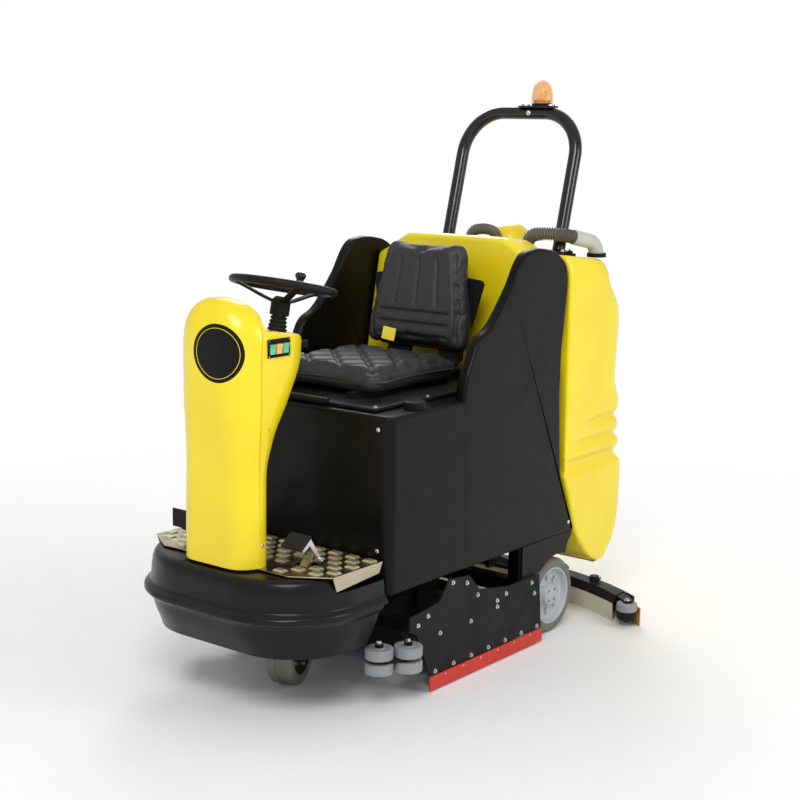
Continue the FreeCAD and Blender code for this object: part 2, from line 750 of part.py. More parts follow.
# ---------------------------------------------------------------- brush deck
@piece("deck_arm")
def deck_arm():
    shaft = cyl(V(-168, ARM_PIVOT.y, ARM_PIVOT.z), AXIS_X, 10, 336)
    run = [(ARM_PIVOT.y - 14, ARM_PIVOT.z - 8), (ARM_PIVOT.y + 14, ARM_PIVOT.z - 16),
           (ARM_END.y + 14, ARM_END.z - 14), (ARM_END.y + 14, ARM_END.z + 14),
           (ARM_PIVOT.y, ARM_PIVOT.z + 16), (ARM_PIVOT.y - 14, ARM_PIVOT.z + 10)]
    arms = both_sides(side_prism(run, 128, 138))
    whole = fuse([shaft] + arms)
    return whole.cut(cyl(V(-160, ARM_END.y, ARM_END.z), AXIS_X, 8 + FIT, 320))


@piece("deck_housing")
def deck_housing():
    outline = [(-205, 60), (-205, 140), (-180, 164), (160, 164), (172, 150), (172, 60)]
    inner = [(-199, 59), (-199, 138), (-178, 158), (158, 158), (166, 148), (166, 59)]
    shell = side_prism(outline, -375, 375).cut(side_prism(inner, -372, 372))
    ends = both_sides(box(372, 379, -205, 172, 60, 164))
    lugs = both_sides(box(140.5, 152, -34, 14, 160, 224))
    pins = both_sides(cyl(V(124, ARM_END.y, ARM_END.z), AXIS_X, 8, 22))
    whole = fuse([shell] + ends + lugs + pins)
    for y in BRUSH_Y:
        whole = whole.cut(cyl(V(-385, y, BRUSH_Z), AXIS_X, 16, 770))
    return whole


PLATE_OUTLINE = ((-276, 52), (-300, 112), (-346, 200), (-378, 216), (-378, 262), (-232, 276),
                 (-182, 338), (-76, 326), (-20, 268), (140, 240), (322, 240), (340, 52))


@piece("deck_side_plates")
def deck_side_plates():
    return both_sides(side_prism(PLATE_OUTLINE, PLATE_X, PLATE_X + PLATE_T))


@piece("side_skirts")
def side_skirts():
    x0 = PLATE_X + PLATE_T
    blade = side_prism([(-280, 5), (340, 5), (340, 50), (-280, 50)], x0, x0 + 5)
    return both_sides(blade)


@piece("roller_brackets")
def roller_brackets():
    arm = plan_prism([(340, -345), (379, -345), (424, -388), (424, -420), (366, -500), (330, -500)], 149, 155)
    tab = box(373, 379, -352, -310, 149, 240)
    web = box(330, 379, -347, -341, 149, 200)
    axles = []
    for x, y in DECK_ROLLERS:
        axles.append(cyl(V(x, y, 104), AXIS_Z, 8, 98))
        axles.append(cyl(V(x, y, 192), AXIS_Z, 13, 12))
        axles.append(cyl(V(x, y, 100), AXIS_Z, 13, 11))
    return both_sides(fuse([arm, tab, web] + axles))


def deck_roller(index, side):
    x, y = DECK_ROLLERS[index]
    rollers = []
    for z0 in (112, 157):
        body = ring(V(side * x, y, z0), AXIS_Z, DECK_ROLLER_R, 8 + FIT, 34)
        rollers.append(body)
    return rollers


for spot, word in enumerate(("outer", "inner")):
    for hand, side_word in ((1, "left"), (-1, "right")):
        PIECES["deck_roller_%s_%s" % (word, side_word)] = lambda i=spot, s=hand: deck_roller(i, s)


@piece("brush_motors")
def brush_motors():
    motors = []
    for x, y in ((-60, -100), (60, 80)):
        side = -1 if x < 0 else 1
        can = cyl(V(x, y, 208), V(side, 0, 0), 43, 60)
        foot = box(min(x, x + side * 60), max(x, x + side * 60), y - 40, y + 40, 164, 172)
        motors.append(fuse([can, foot, cyl(V(x, y, 208), V(-side, 0, 0), 12, 40)]))
    return motors


@piece("debris_hopper")
def debris_hopper():
    outline = [(176, 62), (300, 62), (300, 150), (176, 150)]
    inner = [(182, 68), (294, 68), (294, 151), (170, 151), (170, 76)]
    tray = side_prism(outline, -340, 340).cut(side_prism(inner, -334, 334))
    handle = fuse([box(-60, -50, 294, 318, 120, 130), box(50, 60, 294, 318, 120, 130),
                   box(-60, 60, 308, 318, 120, 130)])
    rails = both_sides(box(338, 379, 200, 290, 140, 148))
    return fuse([tray, handle] + rails)


def brush(y):
    core = cyl(V(-BRUSH_HALF, y, BRUSH_Z), AXIS_X, BRUSH_R - 1, 2 * BRUSH_HALF)
    shaft = cyl(V(-BRUSH_HALF - 20, y, BRUSH_Z), AXIS_X, 15, 2 * BRUSH_HALF + 40)
    return fuse([core, shaft])


for word, y_brush in zip(("front", "rear"), BRUSH_Y):
    PIECES["brush_%s" % word] = lambda y=y_brush: brush(y)


# ---------------------------------------------------------------- squeegee
def bow(offset, inset_end=0.0):
    """Ends and middle of the squeegee's bow in plan, moved forward by an offset."""
    half = SQUEEGEE_TIP.x - inset_end
    chord, rise = SQUEEGEE_TIP.x, SQUEEGEE_MID_Y - SQUEEGEE_TIP.y
    radius = (chord ** 2 + rise ** 2) / (2 * rise)
    centre_y = SQUEEGEE_MID_Y - radius
    r = radius - offset
    y_end = centre_y + math.sqrt(r ** 2 - half ** 2)
    return V(-half, y_end, 0), V(0, centre_y + r, 0), V(half, y_end, 0)


def bowed_bar(front_offset, rear_offset, z0, z1, inset_end=0.0):
    """Bar that follows the bow, between two offsets and two heights."""
    a = bow(rear_offset, inset_end)
    b = bow(front_offset, inset_end)
    edges = [Part.Arc(*a).toShape(), Part.LineSegment(a[2], b[2]).toShape(),
             Part.Arc(b[2], b[1], b[0]).toShape(), Part.LineSegment(b[0], a[0]).toShape()]
    face = Part.Face(Part.Wire(edges))
    face.translate(V(0, 0, z0))
    return face.extrude(V(0, 0, z1 - z0))


ARM_PLATE = ((440, 712), (462, 748), (500, 722), (545, 680), (530, 652))


@piece("squeegee_body")
def squeegee_body():
    beam = bowed_bar(66, 10, 74, 98, 92)
    front_lip = bowed_bar(66, 58, 34, 75, 100)
    rear_lip = bowed_bar(18, 10, 34, 98, 34)
    port = ring(V(0, SWIVEL_Y, 96), AXIS_Z, 27, 20, 36)
    boss = cyl(V(0, SWIVEL_Y, 74), AXIS_Z, 40, 26)
    arms = []
    for side in (1, -1):
        outline = [(side * x, y) for x, y in ARM_PLATE]
        arms.append(plan_prism(outline, 88, 94))
        arms.append(cyl(V(side * SQ_ROLLER.x, SQ_ROLLER.y, 22), AXIS_Z, 7, 70))
        arms.append(cyl(V(side * SQ_ROLLER.x, SQ_ROLLER.y, 18), AXIS_Z, 12, 8))
    knobs = []
    for x in (-330, -170, 170, 330):
        tip, middle = bow(38)[2].y, bow(38)[1].y
        y = middle - (middle - tip) * (x / SQUEEGEE_TIP.x) ** 2
        knobs.append(cyl(V(x, y, 97), AXIS_Z, 17, 24))
    whole = fuse([beam, front_lip, rear_lip, port, boss] + arms + knobs)
    return whole.cut(cyl(V(0, SWIVEL_Y, 60), AXIS_Z, 20, 80))


@piece("squeegee_blades")
def squeegee_blades():
    front = bowed_bar(71, 66.2, 1, 62, 104)
    rear = bowed_bar(9.8, 5, 1, 66, 0)
    return [front, rear]


def squeegee_roller(side):
    base = V(side * SQ_ROLLER.x, SQ_ROLLER.y, 0)
    lower = ring(base.add(V(0, 0, 28)), AXIS_Z, SQ_ROLLER_R - 2, 7 + FIT, 28)
    upper = ring(base.add(V(0, 0, 57)), AXIS_Z, SQ_ROLLER_R, 7 + FIT, 29)
    return [lower, upper]


PIECES["squeegee_roller_left"] = lambda: squeegee_roller(1)
PIECES["squeegee_roller_right"] = lambda: squeegee_roller(-1)


@piece("squeegee_arm")
def squeegee_arm():
    y0 = SQ_PIVOT.y - 12
    pin = cyl(V(-44, y0, SQ_PIVOT.z), AXIS_X, 8, 88)
    eye = cyl(V(-24, y0, SQ_PIVOT.z), AXIS_X, 16, 48)
    beam = side_prism([(y0, 154), (y0, 176), (620, 170), (700, 132), (760, 124), (760, 112), (690, 112),
                       (610, 150)], -24, 24)
    collar = ring(V(0, SWIVEL_Y, 101), AXIS_Z, 46, 27 + RUN, 12)
    tongue = box(-24, 24, 740, 772, 101, 122)
    return fuse([pin, eye, beam, tongue, collar]).cut(cyl(V(0, SWIVEL_Y, 90), AXIS_Z, 27 + RUN, 60))


def solids(shape):
    """Compound of one or more solids."""
    if isinstance(shape, (list, tuple)):
        return Part.makeCompound(list(shape))
    return shape


def main():
    """Make every piece and write it to its own STEP file."""
    os.makedirs("parts", exist_ok=True)
    for name, maker in PIECES.items():
        shape = solids(maker())
        if not shape.isValid():
            print("not valid:", name)
        shape.exportStep("parts/%s.step" % name)
        b = shape.BoundBox
        print("%-24s %d solids  x %.0f %.0f  y %.0f %.0f  z %.0f %.0f" % (
            name, len(shape.Solids), b.XMin, b.XMax, b.YMin, b.YMax, b.ZMin, b.ZMax))


main()
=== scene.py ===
"""Ride-on floor scrubber: the visible model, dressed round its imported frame."""

import json
import logging
import math
from abc import ABC, abstractmethod
from collections.abc import Callable, Iterable, Sequence
from dataclasses import dataclass, field
from enum import Enum

import bmesh
import bpy
import numpy as np
from mathutils import Matrix, Vector
from mathutils.bvhtree import BVHTree

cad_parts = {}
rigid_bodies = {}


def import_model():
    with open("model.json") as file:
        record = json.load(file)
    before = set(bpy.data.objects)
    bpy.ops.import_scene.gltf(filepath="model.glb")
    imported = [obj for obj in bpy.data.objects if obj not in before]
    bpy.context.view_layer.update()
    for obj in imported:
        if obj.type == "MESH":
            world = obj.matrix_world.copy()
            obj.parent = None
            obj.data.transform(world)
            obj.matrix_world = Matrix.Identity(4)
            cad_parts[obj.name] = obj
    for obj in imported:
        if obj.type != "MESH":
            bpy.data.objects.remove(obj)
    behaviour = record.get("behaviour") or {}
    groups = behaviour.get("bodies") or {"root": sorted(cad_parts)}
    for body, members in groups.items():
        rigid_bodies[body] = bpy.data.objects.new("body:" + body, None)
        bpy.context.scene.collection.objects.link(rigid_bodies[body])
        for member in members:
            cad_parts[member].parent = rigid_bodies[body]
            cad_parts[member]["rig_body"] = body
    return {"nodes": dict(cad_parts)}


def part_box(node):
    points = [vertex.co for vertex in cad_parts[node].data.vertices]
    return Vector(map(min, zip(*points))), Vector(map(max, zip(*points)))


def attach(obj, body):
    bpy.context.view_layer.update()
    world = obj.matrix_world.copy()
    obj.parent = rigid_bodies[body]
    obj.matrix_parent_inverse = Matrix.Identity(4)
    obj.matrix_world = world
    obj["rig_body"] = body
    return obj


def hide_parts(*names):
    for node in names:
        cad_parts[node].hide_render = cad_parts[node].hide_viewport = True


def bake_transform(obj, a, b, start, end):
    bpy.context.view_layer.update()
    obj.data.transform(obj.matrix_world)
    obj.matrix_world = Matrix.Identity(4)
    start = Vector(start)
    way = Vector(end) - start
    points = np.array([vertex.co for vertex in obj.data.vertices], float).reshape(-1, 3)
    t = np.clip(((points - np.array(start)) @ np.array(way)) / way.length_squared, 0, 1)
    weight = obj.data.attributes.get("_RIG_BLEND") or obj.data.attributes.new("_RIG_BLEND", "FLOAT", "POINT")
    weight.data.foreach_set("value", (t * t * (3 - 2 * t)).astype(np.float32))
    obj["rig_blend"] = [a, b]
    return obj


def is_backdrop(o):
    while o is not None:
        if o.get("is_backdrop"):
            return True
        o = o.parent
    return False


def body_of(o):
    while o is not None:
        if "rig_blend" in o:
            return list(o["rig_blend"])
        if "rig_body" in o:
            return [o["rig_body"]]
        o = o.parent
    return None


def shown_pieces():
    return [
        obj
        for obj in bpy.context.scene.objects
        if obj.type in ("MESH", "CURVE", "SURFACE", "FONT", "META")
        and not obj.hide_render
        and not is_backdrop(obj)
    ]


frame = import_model()

LOG = logging.getLogger("scrubber")
MM = 0.001
UP = Vector((0, 0, 1))
LEFT = Vector((1, 0, 0))
REAR = Vector((0, 1, 0))
Colour = tuple[float, float, float]
Loop = list[Vector]
Spot = tuple[Vector, Vector]


# ------------------------------------------------------------------ finishes
class Grain(Enum):
    """The small relief of a surface."""

    PEEL = "the slight waviness of a glossy moulding"
    CAST = "the pebbling of cast or powder-coated metal"
    BRUSHED = "the fine lines of rolled sheet"
    LEATHER = "the cells of coated cloth"
    RUBBER = "the dull skin of rubber"


@dataclass(frozen=True)
class Finish:
    """A paint, plastic, metal or rubber and the record's slot it answers to.

    Attributes:
        name: Name of the material.
        slot: The record's material slot; not used.
        light: Brighter tone of the colour.
        dark: Darker tone of the colour.
        rough: Lowest and highest roughness.
        grain: Kind of relief.
        depth: Strength of the relief.
        metal: Metallic share.
        coat: Clear coat weight.
        clear: Share of light let through.
        glow: Strength of the surface's own light.
        dust: Share of settled dust on faces that look up.
        shine: Strength of the mirror reflection.
    """

    name: str
    slot: str
    light: Colour
    dark: Colour
    rough: tuple[float, float]
    grain: Grain
    depth: float = 0.15
    metal: float = 0.0
    coat: float = 0.0
    clear: float = 0.0
    glow: float = 0.0
    dust: float = 0.0
    shine: float = 0.5

    def material(self) -> bpy.types.Material:
        """The Blender material of this finish, made once.

        Returns:
            The material.
        """
        known = bpy.data.materials.get(self.name)
        if known:
            return known
        made = bpy.data.materials.new(self.name)
        made.use_nodes = True
        tree = made.node_tree
        shader = next(n for n in tree.nodes if n.type == "BSDF_PRINCIPLED")
        where = tree.nodes.new("ShaderNodeTexCoord").outputs["Object"]
        tree.links.new(self._colour(tree, where), shader.inputs["Base Color"])
        tree.links.new(self._roughness(tree, where), shader.inputs["Roughness"])
        tree.links.new(self._relief(tree, where), shader.inputs["Normal"])
        shader.inputs["Metallic"].default_value = self.metal
        shader.inputs["Coat Weight"].default_value = self.coat
        shader.inputs["Specular IOR Level"].default_value = self.shine
        shader.inputs["Coat Roughness"].default_value = 0.06
        shader.inputs["Transmission Weight"].default_value = self.clear
        if self.glow:
            shader.inputs["Emission Color"].default_value = (*self.light, 1)
            shader.inputs["Emission Strength"].default_value = self.glow
        made.diffuse_color = (*self.light, 1)
        return made

    @staticmethod
    def _noise(tree: bpy.types.NodeTree, where: bpy.types.NodeSocket, scale: float,
               detail: float = 3.0) -> bpy.types.NodeSocket:
        """A noise pattern.

        Args:
            tree: Node tree to add to.
            where: Coordinates.
            scale: Cells in a metre.
            detail: Octaves.

        Returns:
            The noise's factor.
        """
        noise = tree.nodes.new("ShaderNodeTexNoise")
        noise.inputs["Scale"].default_value = scale
        noise.inputs["Detail"].default_value = detail
        tree.links.new(where, noise.inputs["Vector"])
        return noise.outputs["Fac"]

    @staticmethod
    def _spread(tree: bpy.types.NodeTree, value: bpy.types.NodeSocket, low: float, high: float,
                source: tuple[float, float] = (0.3, 0.7)) -> bpy.types.NodeSocket:
        """Spread a value between two others.

        Args:
            tree: Node tree to add to.
            value: Value to spread.
            low: Result at the low end.
            high: Result at the high end.
            source: The value's own ends.

        Returns:
            The spread value.
        """
        node = tree.nodes.new("ShaderNodeMapRange")
        node.inputs["From Min"].default_value = source[0]
        node.inputs["From Max"].default_value = source[1]
        node.inputs["To Min"].default_value = low
        node.inputs["To Max"].default_value = high
        tree.links.new(value, node.inputs["Value"])
        return node.outputs["Result"]

    @staticmethod
    def _mixed(tree: bpy.types.NodeTree, share: bpy.types.NodeSocket, first: object,
               second: object) -> bpy.types.NodeSocket:
        """Mix two colours, each a socket or a plain colour.

        Args:
            tree: Node tree to add to.
            share: Share of the second colour.
            first: First colour.
            second: Second colour.

        Returns:
            The mixed colour.
        """
        mix = tree.nodes.new("ShaderNodeMix")
        mix.data_type = "RGBA"
        tree.links.new(share, mix.inputs["Factor"])
        for socket, colour in ((mix.inputs[6], first), (mix.inputs[7], second)):
            if isinstance(colour, bpy.types.NodeSocket):
                tree.links.new(colour, socket)
            else:
                socket.default_value = (*colour, 1)
        return mix.outputs[2]

    def _colour(self, tree: bpy.types.NodeTree, where: bpy.types.NodeSocket) -> bpy.types.NodeSocket:
        """Colour that drifts slowly, with fine speckle and settled dust.

        Args:
            tree: Node tree to add to.
            where: Coordinates.

        Returns:
            The colour.
        """
        drift = self._spread(tree, self._noise(tree, where, 5.0, 4.0), 0.0, 1.0)
        colour = self._mixed(tree, drift, self.dark, self.light)
        speckle = self._spread(tree, self._noise(tree, where, 160.0, 2.0), 0.0, 0.25, (0.55, 0.8))
        colour = self._mixed(tree, speckle, colour, self.dark)
        if not self.dust:
            return colour
        normal = tree.nodes.new("ShaderNodeNewGeometry").outputs["Normal"]
        split = tree.nodes.new("ShaderNodeSeparateXYZ")
        tree.links.new(normal, split.inputs["Vector"])
        facing_up = self._spread(tree, split.outputs["Z"], 0.0, self.dust, (0.5, 1.0))
        patches = self._spread(tree, self._noise(tree, where, 14.0, 6.0), 0.2, 1.0)
        share = tree.nodes.new("ShaderNodeMath")
        share.operation = "MULTIPLY"
        tree.links.new(facing_up, share.inputs[0])
        tree.links.new(patches, share.inputs[1])
        return self._mixed(tree, share.outputs["Value"], colour, (0.30, 0.28, 0.25))

    def _roughness(self, tree: bpy.types.NodeTree, where: bpy.types.NodeSocket) -> bpy.types.NodeSocket:
        """Roughness in patches, as handled and wiped surfaces have.

        Args:
            tree: Node tree to add to.
            where: Coordinates.

        Returns:
            The roughness.
        """
        return self._spread(tree, self._noise(tree, where, 22.0, 5.0), self.rough[0], self.rough[1])

    def _relief(self, tree: bpy.types.NodeTree, where: bpy.types.NodeSocket) -> bpy.types.NodeSocket:
        """The surface's small relief.

        Args:
            tree: Node tree to add to.
            where: Coordinates.

        Returns:
            The bent normal.
        """
        bump = tree.nodes.new("ShaderNodeBump")
        bump.inputs["Strength"].default_value = self.depth
        bump.inputs["Distance"].default_value = 0.0008
        if self.grain is Grain.LEATHER:
            cells = tree.nodes.new("ShaderNodeTexVoronoi")
            cells.feature = "SMOOTH_F1"
            cells.inputs["Scale"].default_value = 420.0
            tree.links.new(where, cells.inputs["Vector"])
            height = cells.outputs["Distance"]
        elif self.grain is Grain.BRUSHED:
            stretch = tree.nodes.new("ShaderNodeMapping")
            stretch.inputs["Scale"].default_value = (0.04, 1.0, 1.0)
            tree.links.new(where, stretch.inputs["Vector"])
            height = self._noise(tree, stretch.outputs["Vector"], 900.0, 2.0)
        else:
            scale = {Grain.PEEL: 90.0, Grain.CAST: 700.0, Grain.RUBBER: 1200.0}[self.grain]
            height = self._noise(tree, where, scale, 2.0 if self.grain is Grain.PEEL else 5.0)
        tree.links.new(height, bump.inputs["Height"])
        return bump.outputs["Normal"]


class Finishes:
    """Every finish on the machine."""

    YELLOW = Finish("yellow_moulding", "yellow_shell", (0.88, 0.70, 0.004), (0.83, 0.63, 0.003),
                    (0.30, 0.42), Grain.PEEL, 0.10, coat=0.25)
    BLACK = Finish("black_moulding", "black_gloss", (0.0040, 0.0040, 0.0045), (0.0022, 0.0022, 0.0026),
                   (0.26, 0.40), Grain.PEEL, 0.16, coat=0.12, dust=0.02, shine=0.22)
    SHELL = Finish("black_tank_moulding", "black_shell", (0.0040, 0.0038, 0.0040), (0.0022, 0.0021, 0.0022),
                   (0.30, 0.44), Grain.PEEL, 0.18, coat=0.04, dust=0.015, shine=0.13)
    MATT = Finish("matt_black_plastic", "black_matte", (0.008, 0.008, 0.008), (0.005, 0.005, 0.005),
                  (0.45, 0.60), Grain.CAST, 0.25, dust=0.04, shine=0.14)
    PAINT = Finish("black_powder_coat", "frame_black", (0.011, 0.011, 0.012), (0.006, 0.006, 0.007),
                   (0.38, 0.55), Grain.CAST, 0.20, dust=0.08, shine=0.14)
    BAR = Finish("black_bar_enamel", "bar_gloss", (0.009, 0.009, 0.010), (0.006, 0.006, 0.006),
                 (0.14, 0.22), Grain.PEEL, 0.02, coat=0.2, shine=0.35)
    # The plate and its pads are one metal in two copies: the plate is the darker copy, painted shade between
    # the pads, and the pads are the lighter, less metallic copy, a painted highlight on their tops.
    TREAD = Finish("bright_tread_plate", "tread_plate", (0.62, 0.56, 0.42), (0.40, 0.35, 0.24),
                   (0.20, 0.38), Grain.BRUSHED, 0.20, metal=1.0)
    PADS_PAINTED_HIGHLIGHT = Finish("tread_pads_painted_highlight", "tread_plate", (0.74, 0.67, 0.47), (0.52, 0.46, 0.30),
                  (0.34, 0.48), Grain.BRUSHED, 0.15, metal=0.8)
    STEEL = Finish("zinc_plated_steel", "steel", (0.72, 0.73, 0.75), (0.52, 0.53, 0.55),
                   (0.22, 0.36), Grain.CAST, 0.12, metal=1.0)
    MIRROR = Finish("mirror_reflector", "reflector", (0.92, 0.92, 0.90), (0.84, 0.84, 0.82),
                    (0.04, 0.10), Grain.PEEL, 0.05, metal=1.0)
    RIM_BLACK = Finish("wheel_rim_grip", "black_rim", (0.013, 0.013, 0.013), (0.008, 0.008, 0.008),
                       (0.34, 0.48), Grain.LEATHER, 0.12, shine=0.14)
    RUBBER = Finish("black_rubber", "rubber_black", (0.016, 0.016, 0.016), (0.009, 0.009, 0.009),
                    (0.60, 0.78), Grain.RUBBER, 0.30, dust=0.05, shine=0.14)
    TYRE = Finish("grey_tyre_rubber", "tyre_grey", (0.19, 0.185, 0.165), (0.12, 0.117, 0.105),
                  (0.60, 0.80), Grain.RUBBER, 0.35, dust=0.25)
    RIM = Finish("pale_grey_rim", "rim_grey", (0.50, 0.53, 0.56), (0.38, 0.41, 0.44),
                 (0.38, 0.52), Grain.CAST, 0.15, dust=0.15)
    ROLLER = Finish("grey_roller_plastic", "roller_grey", (0.30, 0.31, 0.32), (0.21, 0.22, 0.23),
                    (0.45, 0.60), Grain.CAST, 0.20, dust=0.2)
    VINYL = Finish("seat_vinyl", "seat_vinyl", (0.0075, 0.0065, 0.0060), (0.004, 0.0035, 0.0035),
                   (0.30, 0.44), Grain.LEATHER, 0.28, coat=0.1, shine=0.22)
    TAG = Finish("yellow_tag", "yellow_tag", (0.88, 0.66, 0.03), (0.78, 0.56, 0.02),
                 (0.45, 0.60), Grain.CAST, 0.12)
    GREEN = Finish("green_rocker", "switch_green", (0.10, 0.45, 0.25), (0.06, 0.32, 0.18),
                   (0.20, 0.30), Grain.PEEL, 0.05, glow=0.35)
    AMBER = Finish("amber_rocker", "switch_amber", (0.80, 0.42, 0.10), (0.62, 0.30, 0.06),
                   (0.20, 0.30), Grain.PEEL, 0.05, glow=0.35)
    HOSE = Finish("grey_hose", "hose_grey", (0.17, 0.155, 0.13), (0.07, 0.06, 0.05),
                  (0.40, 0.55), Grain.PEEL, 0.10)
    CUFF = Finish("pale_hose_cuff", "cuff_grey", (0.55, 0.57, 0.52), (0.42, 0.44, 0.40),
                  (0.45, 0.60), Grain.CAST, 0.15)
    LENS = Finish("amber_lens", "amber_lens", (0.92, 0.20, 0.003), (0.80, 0.11, 0.002),
                  (0.08, 0.16), Grain.PEEL, 0.05, coat=0.5, clear=0.45, glow=0.12)
    BATTERY = Finish("battery_case", "battery_grey", (0.09, 0.095, 0.10), (0.06, 0.064, 0.07),
                     (0.45, 0.60), Grain.CAST, 0.2)
    RED = Finish("red_skirt_rubber", "red_skirt", (0.62, 0.030, 0.012), (0.48, 0.018, 0.008),
                 (0.42, 0.58), Grain.RUBBER, 0.2)
    BRISTLE = Finish("brush_nylon", "bristle", (0.10, 0.16, 0.40), (0.05, 0.09, 0.28),
                     (0.40, 0.55), Grain.PEEL, 0.1)
    CAST = Finish("squeegee_casting", "squeegee_cast", (0.014, 0.014, 0.015), (0.008, 0.008, 0.009),
                  (0.35, 0.50), Grain.CAST, 0.25, dust=0.08, shine=0.14)
    PALE = Finish("pale_squeegee_blade", "blade_amber", (0.86, 0.82, 0.68), (0.76, 0.72, 0.58),
                  (0.40, 0.55), Grain.PEEL, 0.10, clear=0.3)
    BLADE = Finish("amber_squeegee_blade", "blade_amber", (0.72, 0.40, 0.08), (0.55, 0.27, 0.04),
                   (0.35, 0.50), Grain.PEEL, 0.12, clear=0.15)


# ------------------------------------------------------------------ outlines
class Plane(Enum):
    """The view an outline is drawn in."""

    SIDE = "length and height, swept across the machine"
    PLAN = "width and length, swept upwards"
    FRONT = "width and height, swept to the rear"

    def point(self, u: float, v: float, w: float) -> Vector:
        """The point of an outline's two figures and its place along the sweep.

        Args:
            u: First figure of the outline.
            v: Second figure of the outline.
            w: Place along the sweep.

        Returns:
            The point.
        """
        if self is Plane.SIDE:
            return Vector((w, u, v))
        if self is Plane.PLAN:
            return Vector((u, v, w))
        return Vector((u, w, v))


def even_curve(rows: Sequence[Sequence[float]], places: Iterable[float]) -> list[list[float]]:
    """Rows of a table at given places of its first column, on a smooth curve without overshoot.

    Args:
        rows: The table, rising in its first column.
        places: Where rows are wanted.

    Returns:
        One row for each place.
    """
    table = np.array(rows, float)
    x, y = table[:, 0], table[:, 1:]
    step = np.diff(x)[:, None]
    rise = np.diff(y, axis=0) / step
    slope = np.zeros_like(y)
    same = rise[:-1] * rise[1:] > 0
    with np.errstate(divide="ignore", invalid="ignore"):
        mean = 2 * rise[:-1] * rise[1:] / (rise[:-1] + rise[1:])
    slope[1:-1] = np.where(same, mean, 0)
    slope[0], slope[-1] = rise[0], rise[-1]
    found = []
    for place in places:
        i = int(np.clip(np.searchsorted(x, place) - 1, 0, len(x) - 2))
        t = (place - x[i]) / step[i, 0]
        h = step[i, 0]
        row = ((1 + 2 * t) * (1 - t) ** 2 * y[i] + t * (1 - t) ** 2 * h * slope[i]
               + t * t * (3 - 2 * t) * y[i + 1] + t * t * (t - 1) * h * slope[i + 1])
        found.append([place, *row.tolist()])
    return found


def plan_loop(half: float, front: float, rear: float, r_front: float, r_rear: float, z: float,
              steps: int = 10, sides: int = 1) -> Loop:
    """Closed outline in plan with rounded corners, the same on both sides.

    Args:
        half: Half the width.
        front: Front end.
        rear: Rear end.
        r_front: Radius of the front corners.
        r_rear: Radius of the rear corners.
        z: Height.
        steps: Divisions of a corner.
        sides: Divisions of a straight side.

    Returns:
        The outline's points.
    """
    spots = ((half - r_rear, rear - r_rear, r_rear, 0), (-half + r_rear, rear - r_rear, r_rear, 90),
             (-half + r_front, front + r_front, r_front, 180),
             (half - r_front, front + r_front, r_front, 270))
    loop: Loop = []
    for index, (x, y, r, start) in enumerate(spots):
        for k in range(steps + 1):
            angle = math.radians(start + 90 * k / steps)
            loop.append(Vector((x + r * math.cos(angle), y + r * math.sin(angle), z)))
        nx, ny, nr, turn = spots[(index + 1) % 4]
        angle = math.radians(turn)
        onward = Vector((nx + nr * math.cos(angle), ny + nr * math.sin(angle), z))
        last = loop[-1].copy()
        loop.extend(last.lerp(onward, k / sides) for k in range(1, sides))
    return loop


def round_corners(points: Sequence[tuple[float, float]], radius: float,
                  steps: int = 5) -> list[tuple[float, float]]:
    """Round each corner of a flat outline.

    Args:
        points: The outline.
        radius: Radius wanted, less where the runs are short and more at gentle bends.
        steps: Divisions of a corner.

    Returns:
        The rounded outline.
    """
    made = []
    for index, here in enumerate(points):
        here = Vector(here)
        back = Vector(points[index - 1]) - here
        on = Vector(points[(index + 1) % len(points)]) - here
        bend = back.angle(on)
        wide = radius * (8 if bend > 2.2 else 1)
        cut = min(wide / math.tan(bend / 2), 0.48 * back.length, 0.48 * on.length)
        if cut < 0.4:
            made.append(tuple(here))
            continue
        first, last = here + back.normalized() * cut, here + on.normalized() * cut
        for k in range(steps + 1):
            s = k / steps
            made.append(tuple(first * (1 - s) ** 2 + here * 2 * s * (1 - s) + last * s * s))
    return made


def shrink(points: Sequence[tuple[float, float]], distance: float) -> list[tuple[float, float]]:
    """Move each point of a flat outline inwards.

    Args:
        points: The outline.
        distance: How far.

    Returns:
        The smaller outline.
    """
    if not distance:
        return list(points)
    area = sum(a[0] * b[1] - b[0] * a[1] for a, b in zip(points, [*points[1:], points[0]]))
    side = 1 if area > 0 else -1
    made = []
    for index, here in enumerate(points):
        before = (Vector(here) - Vector(points[index - 1])).normalized()
        after = (Vector(points[(index + 1) % len(points)]) - Vector(here)).normalized()
        first, second = Vector((-before.y, before.x)) * side, Vector((-after.y, after.x)) * side
        middle = (first + second).normalized()
        made.append(tuple(Vector(here) + middle * distance / max(0.5, middle.dot(first))))
    return made


